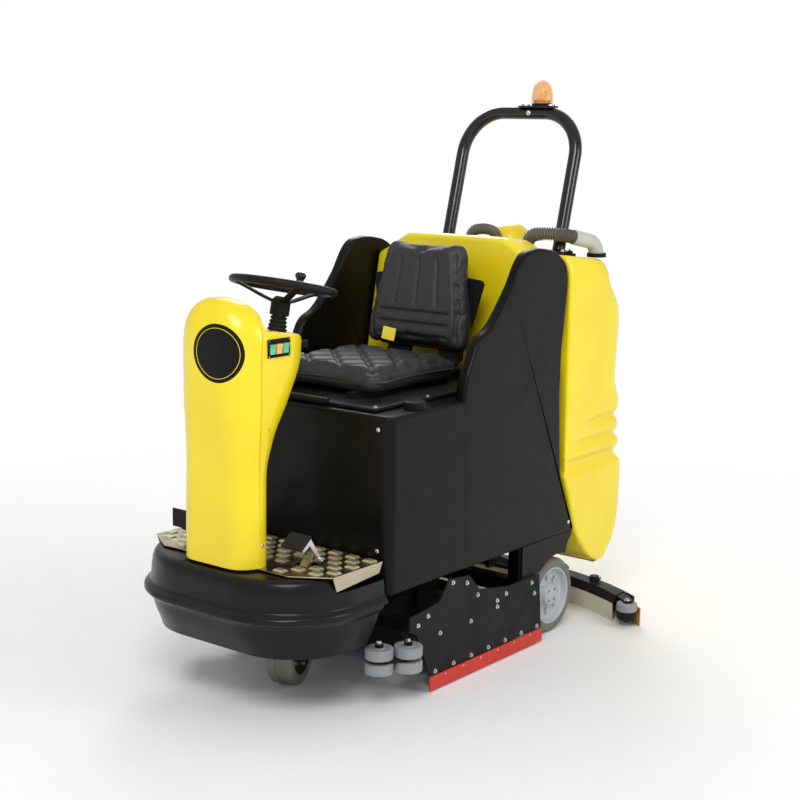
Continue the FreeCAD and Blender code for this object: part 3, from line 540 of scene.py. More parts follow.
# ------------------------------------------------------------------ mesh making
class MeshMaker:
    """Gathers the faces of one mesh, in millimetres."""

    def __init__(self) -> None:
        """Start with nothing."""
        self.points: list[Vector] = []
        self.faces: list[tuple[int, ...]] = []

    def loft(self, loops: Sequence[Loop], closed: bool = True,
             caps: tuple[bool, bool] = (True, True)) -> "MeshMaker":
        """Add a skin through outlines of equal counts.

        Args:
            loops: The outlines.
            closed: Whether each outline closes on itself.
            caps: Whether the first and last outlines are filled.

        Returns:
            This maker.
        """
        start, count = len(self.points), len(loops[0])
        for loop in loops:
            self.points.extend(loop)
        for row in range(len(loops) - 1):
            a, b = start + row * count, start + (row + 1) * count
            for i in range(count if closed else count - 1):
                j = (i + 1) % count
                self.faces.append((a + i, a + j, b + j, b + i))
        if caps[0]:
            self.faces.append(tuple(range(start + count - 1, start - 1, -1)))
        if caps[1]:
            last = start + (len(loops) - 1) * count
            self.faces.append(tuple(range(last, last + count)))
        return self

    def revolve(self, profile: Sequence[tuple[float, float]], base: Vector, axis: Vector, steps: int = 48,
                wave: Callable[[float, float], float] | None = None) -> "MeshMaker":
        """Add a solid of revolution.

        Args:
            profile: Radius and height pairs of the closed section.
            base: Point on the axis at height nought.
            axis: Direction of the axis.
            steps: Divisions round the axis.
            wave: Factor on the radius from the angle and the height.

        Returns:
            This maker.
        """
        turn = UP.rotation_difference(axis).to_matrix()
        loops = []
        for radius, height in [*profile, profile[0]]:
            loop = []
            for k in range(steps):
                angle = math.tau * k / steps
                r = radius * (wave(angle, height) if wave else 1.0)
                loop.append(base + turn @ Vector((r * math.cos(angle), r * math.sin(angle), height)))
            loops.append(loop)
        return self.loft(loops, caps=(False, False))

    def sweep(self, path: Sequence[Vector], radius: float, sides: int = 16, closed: bool = False,
              squash: float = 1.0) -> "MeshMaker":
        """Add a round bar along a path.

        Args:
            path: Points of the path.
            radius: Radius of the bar.
            sides: Sides of its section.
            closed: Whether the path closes on itself.
            squash: Height of the section over its width.

        Returns:
            This maker.
        """
        loops, side = [], None
        count = len(path)
        for i, here in enumerate(path):
            ahead = path[(i + 1) % count] if closed or i < count - 1 else here
            behind = path[i - 1] if closed or i else here
            run = (ahead - behind).normalized()
            if side is None:
                side = run.cross(UP if abs(run.z) < 0.9 else LEFT).normalized()
            side = (side - run * side.dot(run)).normalized()
            other = run.cross(side)
            loops.append([here + side * radius * math.cos(math.tau * k / sides)
                          + other * radius * squash * math.sin(math.tau * k / sides) for k in range(sides)])
        if closed:
            loops.append(loops[0])
        return self.loft(loops, caps=(not closed, not closed))

    def slab(self, outline: Sequence[tuple[float, float]], plane: Plane, start: float, end: float,
             corner: float = 0.0, edge: float = 0.0, steps: int = 4) -> "MeshMaker":
        """Add a plate or block with rounded corners and edges.

        Args:
            outline: Its flat outline.
            plane: The view the outline is drawn in.
            start: Where it starts along the sweep.
            end: Where it ends.
            corner: Radius of the outline's corners.
            edge: Radius of the edges round both faces.
            steps: Divisions of an edge.

        Returns:
            This maker.
        """
        flat = round_corners(outline, corner) if corner else list(outline)
        rows = []
        for k in range(steps + 1 if edge else 1):
            angle = math.pi / 2 * k / steps
            rows.append((edge * (1 - math.sin(angle)), edge * (1 - math.cos(angle))))
        rows = [(drop, inset) for inset, drop in rows]
        places = [(start + drop, inset) for drop, inset in rows] + [(end - drop, inset)
                                                                    for drop, inset in rows[::-1]]
        loops = [[plane.point(u, v, w) for u, v in shrink(flat, inset)] for w, inset in places]
        return self.loft(loops)

    def box(self, low: Sequence[float], high: Sequence[float], edge: float = 0.0) -> "MeshMaker":
        """Add a box between two corners.

        Args:
            low: Lowest corner.
            high: Highest corner.
            edge: Radius of its edges.

        Returns:
            This maker.
        """
        flat = [(low[0], low[1]), (high[0], low[1]), (high[0], high[1]), (low[0], high[1])]
        return self.slab(flat, Plane.PLAN, low[2], high[2], edge, edge, 3)

    def mirrored(self) -> "MeshMaker":
        """Add the mirror image of everything so far, on the other side of the machine."""
        start = len(self.points)
        self.points.extend(Vector((-p.x, p.y, p.z)) for p in self.points[:start])
        self.faces.extend(tuple(i + start for i in reversed(face)) for face in self.faces[:])
        return self

    def moved(self, place: Matrix) -> "MeshMaker":
        """Move everything so far.

        Args:
            place: The move.

        Returns:
            This maker.
        """
        self.points = [place @ p for p in self.points]
        return self

    def mesh(self, name: str) -> bpy.types.Mesh:
        """The finished mesh in metres, with doubles merged and faces turned outwards.

        Args:
            name: Name of the mesh.

        Returns:
            The mesh.
        """
        made = bpy.data.meshes.new(name)
        made.from_pydata([p * MM for p in self.points], [], self.faces)
        work = bmesh.new()
        work.from_mesh(made)
        bmesh.ops.remove_doubles(work, verts=work.verts, dist=2e-6)
        bmesh.ops.dissolve_degenerate(work, edges=work.edges, dist=1e-6)
        bmesh.ops.recalc_face_normals(work, faces=work.faces)
        work.to_mesh(made)
        work.free()
        return made


def bake(thing: bpy.types.Object) -> None:
    """Turn an object's modifiers into its mesh.

    Args:
        thing: The object.
    """
    bpy.context.view_layer.update()
    graph = bpy.context.evaluated_depsgraph_get()
    made = bpy.data.meshes.new_from_object(thing.evaluated_get(graph), preserve_all_data_layers=True,
                                           depsgraph=graph)
    thing.modifiers.clear()
    thing.data = made


def new_object(name: str, mesh: bpy.types.ID) -> bpy.types.Object:
    """An object in the scene.

    Args:
        name: Its name.
        mesh: Its mesh or curve.

    Returns:
        The object.
    """
    thing = bpy.data.objects.new(name, mesh)
    bpy.context.scene.collection.objects.link(thing)
    return thing


def place(name: str, mesh: bpy.types.Mesh, finish: Finish, body: str, replaces: Sequence[str] = (),
          bevel: float = 0.0, angle: float = 35.0) -> bpy.types.Object:
    """Finish a mesh as a piece of the machine.

    Args:
        name: Name of the piece.
        mesh: Its mesh, in place.
        finish: Its finish.
        body: The body it rides on.
        replaces: Frame nodes it stands for.
        bevel: Width of the bevel on its edges, in millimetres.
        angle: Edges sharper than this stay sharp, in degrees.

    Returns:
        The piece.
    """
    thing = new_object(name, mesh)
    mesh.materials.clear()
    mesh.materials.append(finish.material())
    mesh.shade_smooth()
    mesh.set_sharp_from_angle(angle=math.radians(angle))
    if bevel:
        cut = thing.modifiers.new("Edges", "BEVEL")
        cut.width = bevel * MM
        cut.segments = 2
        cut.limit_method = "ANGLE"
        cut.angle_limit = math.radians(angle)
    even = thing.modifiers.new("Shading", "WEIGHTED_NORMAL")
    even.keep_sharp = True
    bake(thing)
    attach(thing, body)
    if replaces:
        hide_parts(*replaces)
    return thing


def merged_copy(node: str) -> bpy.types.Mesh:
    """A copy of a frame node's mesh with its triangles joined up.

    Args:
        node: Name of the node.

    Returns:
        The copy.
    """
    work = bmesh.new()
    work.from_mesh(frame["nodes"][node].data)
    bmesh.ops.remove_doubles(work, verts=work.verts, dist=1e-5)
    bmesh.ops.dissolve_limit(work, angle_limit=math.radians(0.6), verts=work.verts, edges=work.edges)
    made = bpy.data.meshes.new(node)
    work.to_mesh(made)
    work.free()
    return made


def refine(node: str, finish: Finish, bevel: float = 0.8, angle: float = 32.0) -> bpy.types.Object:
    """A frame node's own shape with softened edges and its finish, shown in its place.

    Args:
        node: Name of the node.
        finish: Its finish.
        bevel: Width of the bevel, in millimetres.
        angle: Edges sharper than this are bevelled, in degrees.

    Returns:
        The piece.
    """
    body = body_of(frame["nodes"][node])[0]
    return place(node + "_shape", merged_copy(node), finish, body, (node,), bevel, angle)


def joined(first: bpy.types.Mesh, second: bpy.types.Mesh) -> bpy.types.Mesh:
    """Two meshes as one, without changing either's faces.

    Args:
        first: A mesh, which takes the other's faces.
        second: The other mesh.

    Returns:
        The first mesh.
    """
    work = bmesh.new()
    work.from_mesh(first)
    work.from_mesh(second)
    work.to_mesh(first)
    work.free()
    return first


def combine(base: bpy.types.Mesh, tools: Sequence[bpy.types.Mesh], how: str) -> bpy.types.Mesh:
    """Join meshes to a mesh, or cut them out of it.

    Args:
        base: The mesh to work on.
        tools: The others.
        how: UNION or DIFFERENCE.

    Returns:
        The result.
    """
    thing = new_object("work", base)
    helpers = []
    for tool in tools:
        helper = new_object("tool", tool)
        step = thing.modifiers.new("Combine", "BOOLEAN")
        step.operation = how
        step.solver = "EXACT"
        step.object = helper
        helpers.append(helper)
    bake(thing)
    made = thing.data
    for helper in [*helpers, thing]:
        bpy.data.objects.remove(helper)
    return made


# ------------------------------------------------------------------ repeated parts
class Unit(Enum):
    """The small part that a field repeats."""

    BOLT = "hexagon head on a washer"
    DOME = "round head"
    PAD = "raised rectangular pad with sloping sides"
    TUFT = "thin flaring tuft"
    RIB = "narrow bar"


@dataclass(frozen=True)
class Scatter:
    """A field of one small part, set by a node tree on given spots.

    Attributes:
        name: Name of the field.
        unit: The part repeated.
        width: Its width in millimetres, or its radius where it is round.
        length: Its length in millimetres.
        height: How far it stands out, in millimetres.
        finish: Its finish.
        jitter: Share by which its size varies.
        seed: Seed of that variation.
    """

    name: str
    unit: Unit
    width: float
    length: float
    height: float
    finish: Finish
    jitter: float = 0.0
    seed: int = 7

    def _part(self, tree: bpy.types.NodeTree, sizes: dict[str, bpy.types.NodeSocket]) -> bpy.types.NodeSocket:
        """The node sockets that make one part standing on its spot.

        Args:
            tree: The node tree.
            sizes: The tree's own size inputs by name.

        Returns:
            The part's geometry.
        """
        nodes, links = tree.nodes, tree.links
        if self.unit in (Unit.PAD, Unit.RIB):
            shape = nodes.new("GeometryNodeMeshCone")
            shape.inputs["Vertices"].default_value = 4
            shape.inputs["Radius Top"].default_value = 0.5 if self.unit is Unit.PAD else 0.62
            shape.inputs["Radius Bottom"].default_value = 0.7071
            shape.inputs["Depth"].default_value = 1.0
            square = nodes.new("GeometryNodeTransform")
            square.inputs["Rotation"].default_value = (0, 0, math.radians(45))
            links.new(shape.outputs["Mesh"], square.inputs["Geometry"])
            source = square.outputs["Geometry"]
            across, deep = sizes["Width"], sizes["Length"]
        elif self.unit is Unit.DOME:
            shape = nodes.new("GeometryNodeMeshUVSphere")
            shape.inputs["Segments"].default_value = 14
            shape.inputs["Rings"].default_value = 7
            shape.inputs["Radius"].default_value = 1.0
            source = shape.outputs["Mesh"]
            across, deep = sizes["Width"], sizes["Width"]
        elif self.unit is Unit.TUFT:
            shape = nodes.new("GeometryNodeMeshCone")
            shape.inputs["Vertices"].default_value = 5
            shape.inputs["Radius Top"].default_value = 1.0
            shape.inputs["Radius Bottom"].default_value = 0.45
            shape.inputs["Depth"].default_value = 1.0
            source = shape.outputs["Mesh"]
            across, deep = sizes["Width"], sizes["Width"]
        else:
            head = nodes.new("GeometryNodeMeshCone")
            head.inputs["Vertices"].default_value = 6
            head.inputs["Radius Top"].default_value = 0.92
            head.inputs["Radius Bottom"].default_value = 1.0
            head.inputs["Depth"].default_value = 1.0
            washer = nodes.new("GeometryNodeMeshCylinder")
            washer.inputs["Vertices"].default_value = 18
            washer.inputs["Radius"].default_value = 1.45
            washer.inputs["Depth"].default_value = 0.25
            both = nodes.new("GeometryNodeJoinGeometry")
            links.new(washer.outputs["Mesh"], both.inputs["Geometry"])
            links.new(head.outputs["Mesh"], both.inputs["Geometry"])
            source = both.outputs["Geometry"]
            across, deep = sizes["Width"], sizes["Width"]
        scale = nodes.new("ShaderNodeCombineXYZ")
        links.new(across, scale.inputs["X"])
        links.new(deep, scale.inputs["Y"])
        links.new(sizes["Height"], scale.inputs["Z"])
        sized = nodes.new("GeometryNodeTransform")
        links.new(source, sized.inputs["Geometry"])
        links.new(scale.outputs["Vector"], sized.inputs["Scale"])
        return sized.outputs["Geometry"]

    def tree(self) -> tuple[bpy.types.NodeTree, dict[str, str]]:
        """The node tree that repeats the part.

        Returns:
            The tree, and the identifier of each named input.
        """
        tree = bpy.data.node_groups.new(self.name, "GeometryNodeTree")
        face = tree.interface
        face.new_socket("Geometry", in_out="INPUT", socket_type="NodeSocketGeometry")
        for word in ("Width", "Length", "Height", "Jitter"):
            face.new_socket(word, in_out="INPUT", socket_type="NodeSocketFloat")
        face.new_socket("Seed", in_out="INPUT", socket_type="NodeSocketInt")
        face.new_socket("Geometry", in_out="OUTPUT", socket_type="NodeSocketGeometry")
        nodes, links = tree.nodes, tree.links
        inputs, result = nodes.new("NodeGroupInput"), nodes.new("NodeGroupOutput")
        part = self._part(tree, inputs.outputs)
        facing = nodes.new("GeometryNodeInputNamedAttribute")
        facing.data_type = "FLOAT_VECTOR"
        facing.inputs["Name"].default_value = "facing"
        spin = nodes.new("GeometryNodeInputNamedAttribute")
        spin.data_type = "FLOAT"
        spin.inputs["Name"].default_value = "spin"
        aim = nodes.new("FunctionNodeAlignRotationToVector")
        aim.axis = "Z"
        links.new(facing.outputs["Attribute"], aim.inputs["Vector"])
        about = nodes.new("FunctionNodeAxisAngleToRotation")
        about.inputs["Axis"].default_value = (0, 0, 1)
        links.new(spin.outputs["Attribute"], about.inputs["Angle"])
        turn = nodes.new("FunctionNodeRotateRotation")
        turn.rotation_space = "LOCAL"
        links.new(aim.outputs["Rotation"], turn.inputs["Rotation"])
        links.new(about.outputs["Rotation"], turn.inputs["Rotate By"])
        least = nodes.new("ShaderNodeMath")
        least.operation = "SUBTRACT"
        least.inputs[0].default_value = 1.0
        links.new(inputs.outputs["Jitter"], least.inputs[1])
        vary = nodes.new("FunctionNodeRandomValue")
        vary.data_type = "FLOAT"
        vary.inputs[3].default_value = 1.0
        links.new(least.outputs["Value"], vary.inputs[2])
        links.new(inputs.outputs["Seed"], vary.inputs["Seed"])
        spread = nodes.new("GeometryNodeInstanceOnPoints")
        links.new(inputs.outputs["Geometry"], spread.inputs["Points"])
        links.new(part, spread.inputs["Instance"])
        links.new(turn.outputs["Rotation"], spread.inputs["Rotation"])
        links.new(vary.outputs[1], spread.inputs["Scale"])
        real = nodes.new("GeometryNodeRealizeInstances")
        links.new(spread.outputs["Instances"], real.inputs["Geometry"])
        finish = nodes.new("GeometryNodeSetMaterial")
        finish.inputs["Material"].default_value = self.finish.material()
        links.new(real.outputs["Geometry"], finish.inputs["Geometry"])
        links.new(finish.outputs["Geometry"], result.inputs["Geometry"])
        return tree, {item.name: item.identifier for item in face.items_tree if item.in_out == "INPUT"}

    def on(self, spots: Sequence[Spot], body: str, spins: Sequence[float] = ()) -> bpy.types.Object:
        """Set the part on spots and finish the field as a piece.

        Args:
            spots: Place, in millimetres, and outward direction of each part.
            body: The body the field rides on.
            spins: Turn of each part about its own direction, in degrees.

        Returns:
            The piece.
        """
        lift = self.height / 2 if self.unit is Unit.RIB else 0.0
        places = [(spot + way.normalized() * lift) * MM for spot, way in spots]
        base = bpy.data.meshes.new(self.name)
        base.from_pydata(places, [], [])
        facing = base.attributes.new("facing", "FLOAT_VECTOR", "POINT")
        facing.data.foreach_set("vector", [c for _, way in spots for c in way.normalized()])
        spin = base.attributes.new("spin", "FLOAT", "POINT")
        spin.data.foreach_set("value", [math.radians(a) for a in (spins or [0.0] * len(spots))])
        thing = new_object(self.name, base)
        tree, sockets = self.tree()
        step = thing.modifiers.new("Field", "NODES")
        step.node_group = tree
        for word, value in (("Width", self.width * MM), ("Length", self.length * MM),
                            ("Height", self.height * MM), ("Jitter", self.jitter), ("Seed", self.seed)):
            step[sockets[word]] = value
        bake(thing)
        thing.data.shade_smooth()
        thing.data.set_sharp_from_angle(angle=math.radians(30))
        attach(thing, body)
        return thing


@dataclass(frozen=True)
class Corrugated:
    """A ribbed hose that follows a route, made by a node tree.

    Attributes:
        name: Name of the hose.
        radius: Mean radius in millimetres.
        depth: Half the depth of its ribs in millimetres.
        pitch: Distance from rib to rib in millimetres.
        finish: Its finish.
    """

    name: str
    radius: float
    depth: float
    pitch: float
    finish: Finish

    def tree(self) -> tuple[bpy.types.NodeTree, dict[str, str]]:
        """The node tree that makes the hose from its middle line.

        Returns:
            The tree, and the identifier of each named input.
        """
        tree = bpy.data.node_groups.new(self.name, "GeometryNodeTree")
        face = tree.interface
        face.new_socket("Geometry", in_out="INPUT", socket_type="NodeSocketGeometry")
        for word in ("Radius", "Depth", "Pitch"):
            face.new_socket(word, in_out="INPUT", socket_type="NodeSocketFloat")
        face.new_socket("Geometry", in_out="OUTPUT", socket_type="NodeSocketGeometry")
        nodes, links = tree.nodes, tree.links
        inputs, result = nodes.new("NodeGroupInput"), nodes.new("NodeGroupOutput")

        def maths(operation: str, first: object, second: object) -> bpy.types.NodeSocket:
            """A sum of two sockets or numbers."""
            node = nodes.new("ShaderNodeMath")
            node.operation = operation
            for socket, value in zip(node.inputs, (first, second)):
                if isinstance(value, bpy.types.NodeSocket):
                    links.new(value, socket)
                else:
                    socket.default_value = value
            return node.outputs["Value"]

        line = nodes.new("GeometryNodeMeshToCurve")
        links.new(inputs.outputs["Geometry"], line.inputs["Mesh"])
        even = nodes.new("GeometryNodeResampleCurve")
        even.mode = "LENGTH"
        links.new(line.outputs["Curve"], even.inputs["Curve"])
        links.new(maths("DIVIDE", inputs.outputs["Pitch"], 8.0), even.inputs["Length"])
        along = nodes.new("GeometryNodeSplineParameter")
        keep = nodes.new("GeometryNodeStoreNamedAttribute")
        keep.data_type = "FLOAT"
        keep.domain = "POINT"
        keep.inputs["Name"].default_value = "along"
        links.new(even.outputs["Curve"], keep.inputs["Geometry"])
        links.new(along.outputs["Length"], keep.inputs["Value"])
        ring = nodes.new("GeometryNodeCurvePrimitiveCircle")
        ring.inputs["Resolution"].default_value = 28
        links.new(inputs.outputs["Radius"], ring.inputs["Radius"])
        skin = nodes.new("GeometryNodeCurveToMesh")
        skin.inputs["Fill Caps"].default_value = True
        links.new(keep.outputs["Geometry"], skin.inputs["Curve"])
        links.new(ring.outputs["Curve"], skin.inputs["Profile Curve"])
        read = nodes.new("GeometryNodeInputNamedAttribute")
        read.data_type = "FLOAT"
        read.inputs["Name"].default_value = "along"
        turns = maths("DIVIDE", maths("MULTIPLY", read.outputs["Attribute"], math.tau),
                      inputs.outputs["Pitch"])
        wave = maths("MULTIPLY", maths("COSINE", turns, 0.0), inputs.outputs["Depth"])
        out = nodes.new("ShaderNodeVectorMath")
        out.operation = "SCALE"
        links.new(nodes.new("GeometryNodeInputNormal").outputs["Normal"], out.inputs[0])
        links.new(wave, out.inputs["Scale"])
        rib = nodes.new("GeometryNodeSetPosition")
        links.new(skin.outputs["Mesh"], rib.inputs["Geometry"])
        links.new(out.outputs["Vector"], rib.inputs["Offset"])
        real = nodes.new("GeometryNodeRealizeInstances")
        links.new(rib.outputs["Geometry"], real.inputs["Geometry"])
        finish = nodes.new("GeometryNodeSetMaterial")
        finish.inputs["Material"].default_value = self.finish.material()
        links.new(real.outputs["Geometry"], finish.inputs["Geometry"])
        links.new(finish.outputs["Geometry"], result.inputs["Geometry"])
        return tree, {item.name: item.identifier for item in face.items_tree if item.in_out == "INPUT"}

    def along(self, route: Sequence[Vector], body: str | None, replaces: Sequence[str]) -> bpy.types.Object:
        """Make the hose along a route and finish it as a piece.

        Args:
            route: The route's points in millimetres.
            body: The body it rides on, or None for a hose that bends between two.
            replaces: Frame nodes it stands for.

        Returns:
            The piece.
        """
        curve = bpy.data.curves.new(self.name + "_line", "CURVE")
        curve.dimensions = "3D"
        curve.resolution_u = 12
        spline = curve.splines.new("NURBS")
        spline.points.add(len(route) - 1)
        for point, spot in zip(spline.points, route):
            point.co = (*(spot * MM), 1)
        spline.order_u = 3
        spline.use_endpoint_u = True
        holder = new_object("line", curve)
        bpy.context.view_layer.update()
        graph = bpy.context.evaluated_depsgraph_get()
        line = bpy.data.meshes.new_from_object(holder.evaluated_get(graph), depsgraph=graph)
        bpy.data.objects.remove(holder)
        thing = new_object(self.name, line)
        tree, sockets = self.tree()
        step = thing.modifiers.new("Hose", "NODES")
        step.node_group = tree
        for word, value in (("Radius", self.radius), ("Depth", self.depth), ("Pitch", self.pitch)):
            step[sockets[word]] = value * MM
        bake(thing)
        thing.data.shade_smooth()
        if body:
            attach(thing, body)
        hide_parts(*replaces)
        return thing


# ------------------------------------------------------------------ padding
@dataclass(frozen=True)
class Padding:
    """Swells a closed form with cloth, then keeps each point near where it was.

    Attributes:
        voxel: Grid of the remesh in millimetres.
        pressure: Air pressure of the cloth.
        frames: Steps of the simulation.
        most: Furthest a point may move, in millimetres.
    """

    voxel: float = 6.0
    pressure: float = 4.0
    frames: int = 20
    most: float = 22.0

    def swell(self, mesh: bpy.types.Mesh) -> bpy.types.Mesh:
        """Remesh and swell a closed form.

        Args:
            mesh: The form.

        Returns:
            The swollen form.
        """
        thing = new_object("pad", mesh)
        grid = thing.modifiers.new("Grid", "REMESH")
        grid.mode = "VOXEL"
        grid.voxel_size = self.voxel * MM
        bake(thing)
        made = thing.data
        rest = np.array([v.co for v in made.vertices])
        cloth = thing.modifiers.new("Cloth", "CLOTH")
        cloth.settings.quality = 5
        cloth.settings.use_pressure = True
        cloth.settings.uniform_pressure_force = self.pressure
        cloth.settings.effector_weights.gravity = 0
        scene = bpy.context.scene
        for step in range(1, self.frames + 1):
            scene.frame_set(step)
        graph = bpy.context.evaluated_depsgraph_get()
        swollen = thing.evaluated_get(graph).data
        move = np.array([v.co for v in swollen.vertices]) - rest
        size = np.linalg.norm(move, axis=1, keepdims=True)
        move *= np.minimum(1, self.most * MM / np.maximum(size, 1e-9))
        thing.modifiers.clear()
        scene.frame_set(1)
        made.vertices.foreach_set("co", (rest + move).ravel())
        finer = thing.modifiers.new("Finer", "SUBSURF")
        finer.levels = finer.render_levels = 1
        bake(thing)
        made = thing.data
        bpy.data.objects.remove(thing)
        return made


def sewn(mesh: bpy.types.Mesh, sink: Callable[[float, float, float], tuple[float, float, float]]) -> None:
    """Press seams and channels into a pad.

    Args:
        mesh: The pad, in metres.
        sink: Gives the move at a point, all in millimetres.
    """
    for vertex in mesh.vertices:
        x, y, z = vertex.co / MM
        vertex.co += Vector(sink(x, y, z)) * MM


def notch(distance: float, width: float) -> float:
    """Depth of a soft groove as a share of its greatest depth.

    Args:
        distance: Distance from the groove's middle.
        width: Half its width.

    Returns:
        The share.
    """
    return math.exp(-(distance / width) ** 2)


def ease(value: float, low: float, high: float) -> float:
    """Nought below one figure, one above another, and smooth between them.

    Args:
        value: The figure.
        low: Where it starts to rise.
        high: Where it is one.

    Returns:
        The share.
    """
    t = min(1.0, max(0.0, (value - low) / (high - low)))
    return t * t * (3 - 2 * t)


class SubAssembly(ABC):
    """A group of pieces that is built, then dressed with its fittings."""

    def make(self) -> None:
        """Build and dress the group, and report it."""
        before = len(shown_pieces())
        self.build()
        self.dress()
        LOG.info("%s: %+d pieces", type(self).__name__, len(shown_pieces()) - before)

    @abstractmethod
    def build(self) -> None:
        """Make the main meshes."""

    def dress(self) -> None:
        """Add fittings."""


# ------------------------------------------------------------------ front of the machine
@dataclass
class FrontCover(SubAssembly):
    """The black bumper cover round the front wheel, with its raised lip.

    Attributes:
        rows: Height, half width, front end and corner radius of each outline.
        rear: Rear end of the cover.
        wall: Its wall.
        relief: Outline of the relief for the lifted deck's rollers, in the side view.
    """

    rows: tuple[tuple[float, float, float, float], ...] = (
        (211, 345, -815, 215), (232, 350, -826, 228), (262, 360, -842, 245), (290, 367, -853, 258),
        (306, 370, -857, 262), (313, 373, -862, 265), (319, 379, -873, 274), (325, 383, -883, 281),
        (331, 384.6, -889.5, 285), (339, 384.6, -889.5, 285), (345, 383, -884, 281), (350, 378, -874, 274),
        (354, 373, -868, 269), (360, 370, -865, 267), (392, 368, -861, 264), (420, 365, -857, 261),
        (434, 361, -852, 256), (443, 354, -844, 248), (448, 343, -832, 238))
    rear: float = -482.0
    wall: float = 5.0
    relief: tuple[tuple[float, float], ...] = ((-535, 200), (-475, 200), (-475, 335), (-500, 335))

    def build(self) -> None:
        """Make the cover, open below and behind, with the step's and pedals' openings."""
        loops = []
        for z, half, front, radius in self.rows:
            full = plan_loop(half, front, self.rear, radius, 1.0, z, 14)
            left, right = Vector((half, self.rear, z)), Vector((-half, self.rear, z))
            loops.append([right, *full[30:], left])
        maker = MeshMaker().loft(loops, closed=False, caps=(False, True))
        shell = new_object("cover", maker.mesh("cover"))
        wall = shell.modifiers.new("Wall", "SOLIDIFY")
        wall.thickness = self.wall * MM
        wall.offset = -1
        bake(shell)
        mesh = shell.data
        bpy.data.objects.remove(shell)
        tools = [MeshMaker().box((351, -706, 403), (400, -470, 460)).mirrored().mesh("recess"),
                 MeshMaker().slab(self.relief, Plane.SIDE, -400, 400).mesh("relief"),
                 MeshMaker().box((184, -672, 420), (228, -614, 460)).mirrored().mesh("slots")]
        mesh = combine(mesh, tools, "DIFFERENCE")
        place("front_cover_moulding", mesh, Finishes.BLACK, "chassis", ("front_fender",), 0.0, 40)

    def dress(self) -> None:
        """Screw the cover's roof down behind the column."""
        spots = [(Vector((x, -500, 448)), UP) for x in (-300, -200, -100, 100, 200, 300)]
        Scatter("front_cover_screws", Unit.DOME, 5, 5, 2, Finishes.STEEL).on(spots, "chassis")


@dataclass
class StepPlate(SubAssembly):
    """The bright tread plate the driver stands on.

    Attributes:
        pitch: Distance between pads across and along the machine.
        pad: Width, length and height of a pad.
    """

    pitch: tuple[float, float] = (66.0, 40.0)
    pad: tuple[float, float, float] = (40.0, 27.0, 5.5)

    def build(self) -> None:
        """Finish the plate."""
        refine("step_plate", Finishes.TREAD, 0.6)

    def dress(self) -> None:
        """Raise staggered pads wherever the plate is whole."""
        low, high = (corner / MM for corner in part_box("step_plate"))
        spots = []
        row = 0
        y = high.y - 24
        while y > low.y + 14:
            x = -330.0 + (self.pitch[0] / 2 if row % 2 else 0.0)
            while x <= 330:
                if self._whole(x, y, high.x, low.y):
                    spots.append((Vector((x, y, high.z - 0.3)), UP))
                x += self.pitch[0]
            y -= self.pitch[1]
            row += 1
        # The pads take the lighter copy of the plate's metal: a painted highlight on their tops.
        Scatter("step_tread_pads", Unit.PAD, *self.pad, Finishes.PADS_PAINTED_HIGHLIGHT).on(spots, "chassis")

    def _whole(self, x: float, y: float, half: float, front: float) -> bool:
        """Whether a pad fits at a place.

        Args:
            x: Place across the machine.
            y: Place along the machine.
            half: Half width of the plate.
            front: Front end of the plate.

        Returns:
            True where the plate has no hole or edge near.
        """
        under_column = abs(x) < 168 and y < -690
        at_slot = 150 < abs(x) < 260 and -690 < y < -596
        edge = half - 24 if y > -700 else half - 24 - 106 * (-700 - y) / (-700 - front) - 14
        return not (under_column or at_slot or abs(x) > edge)


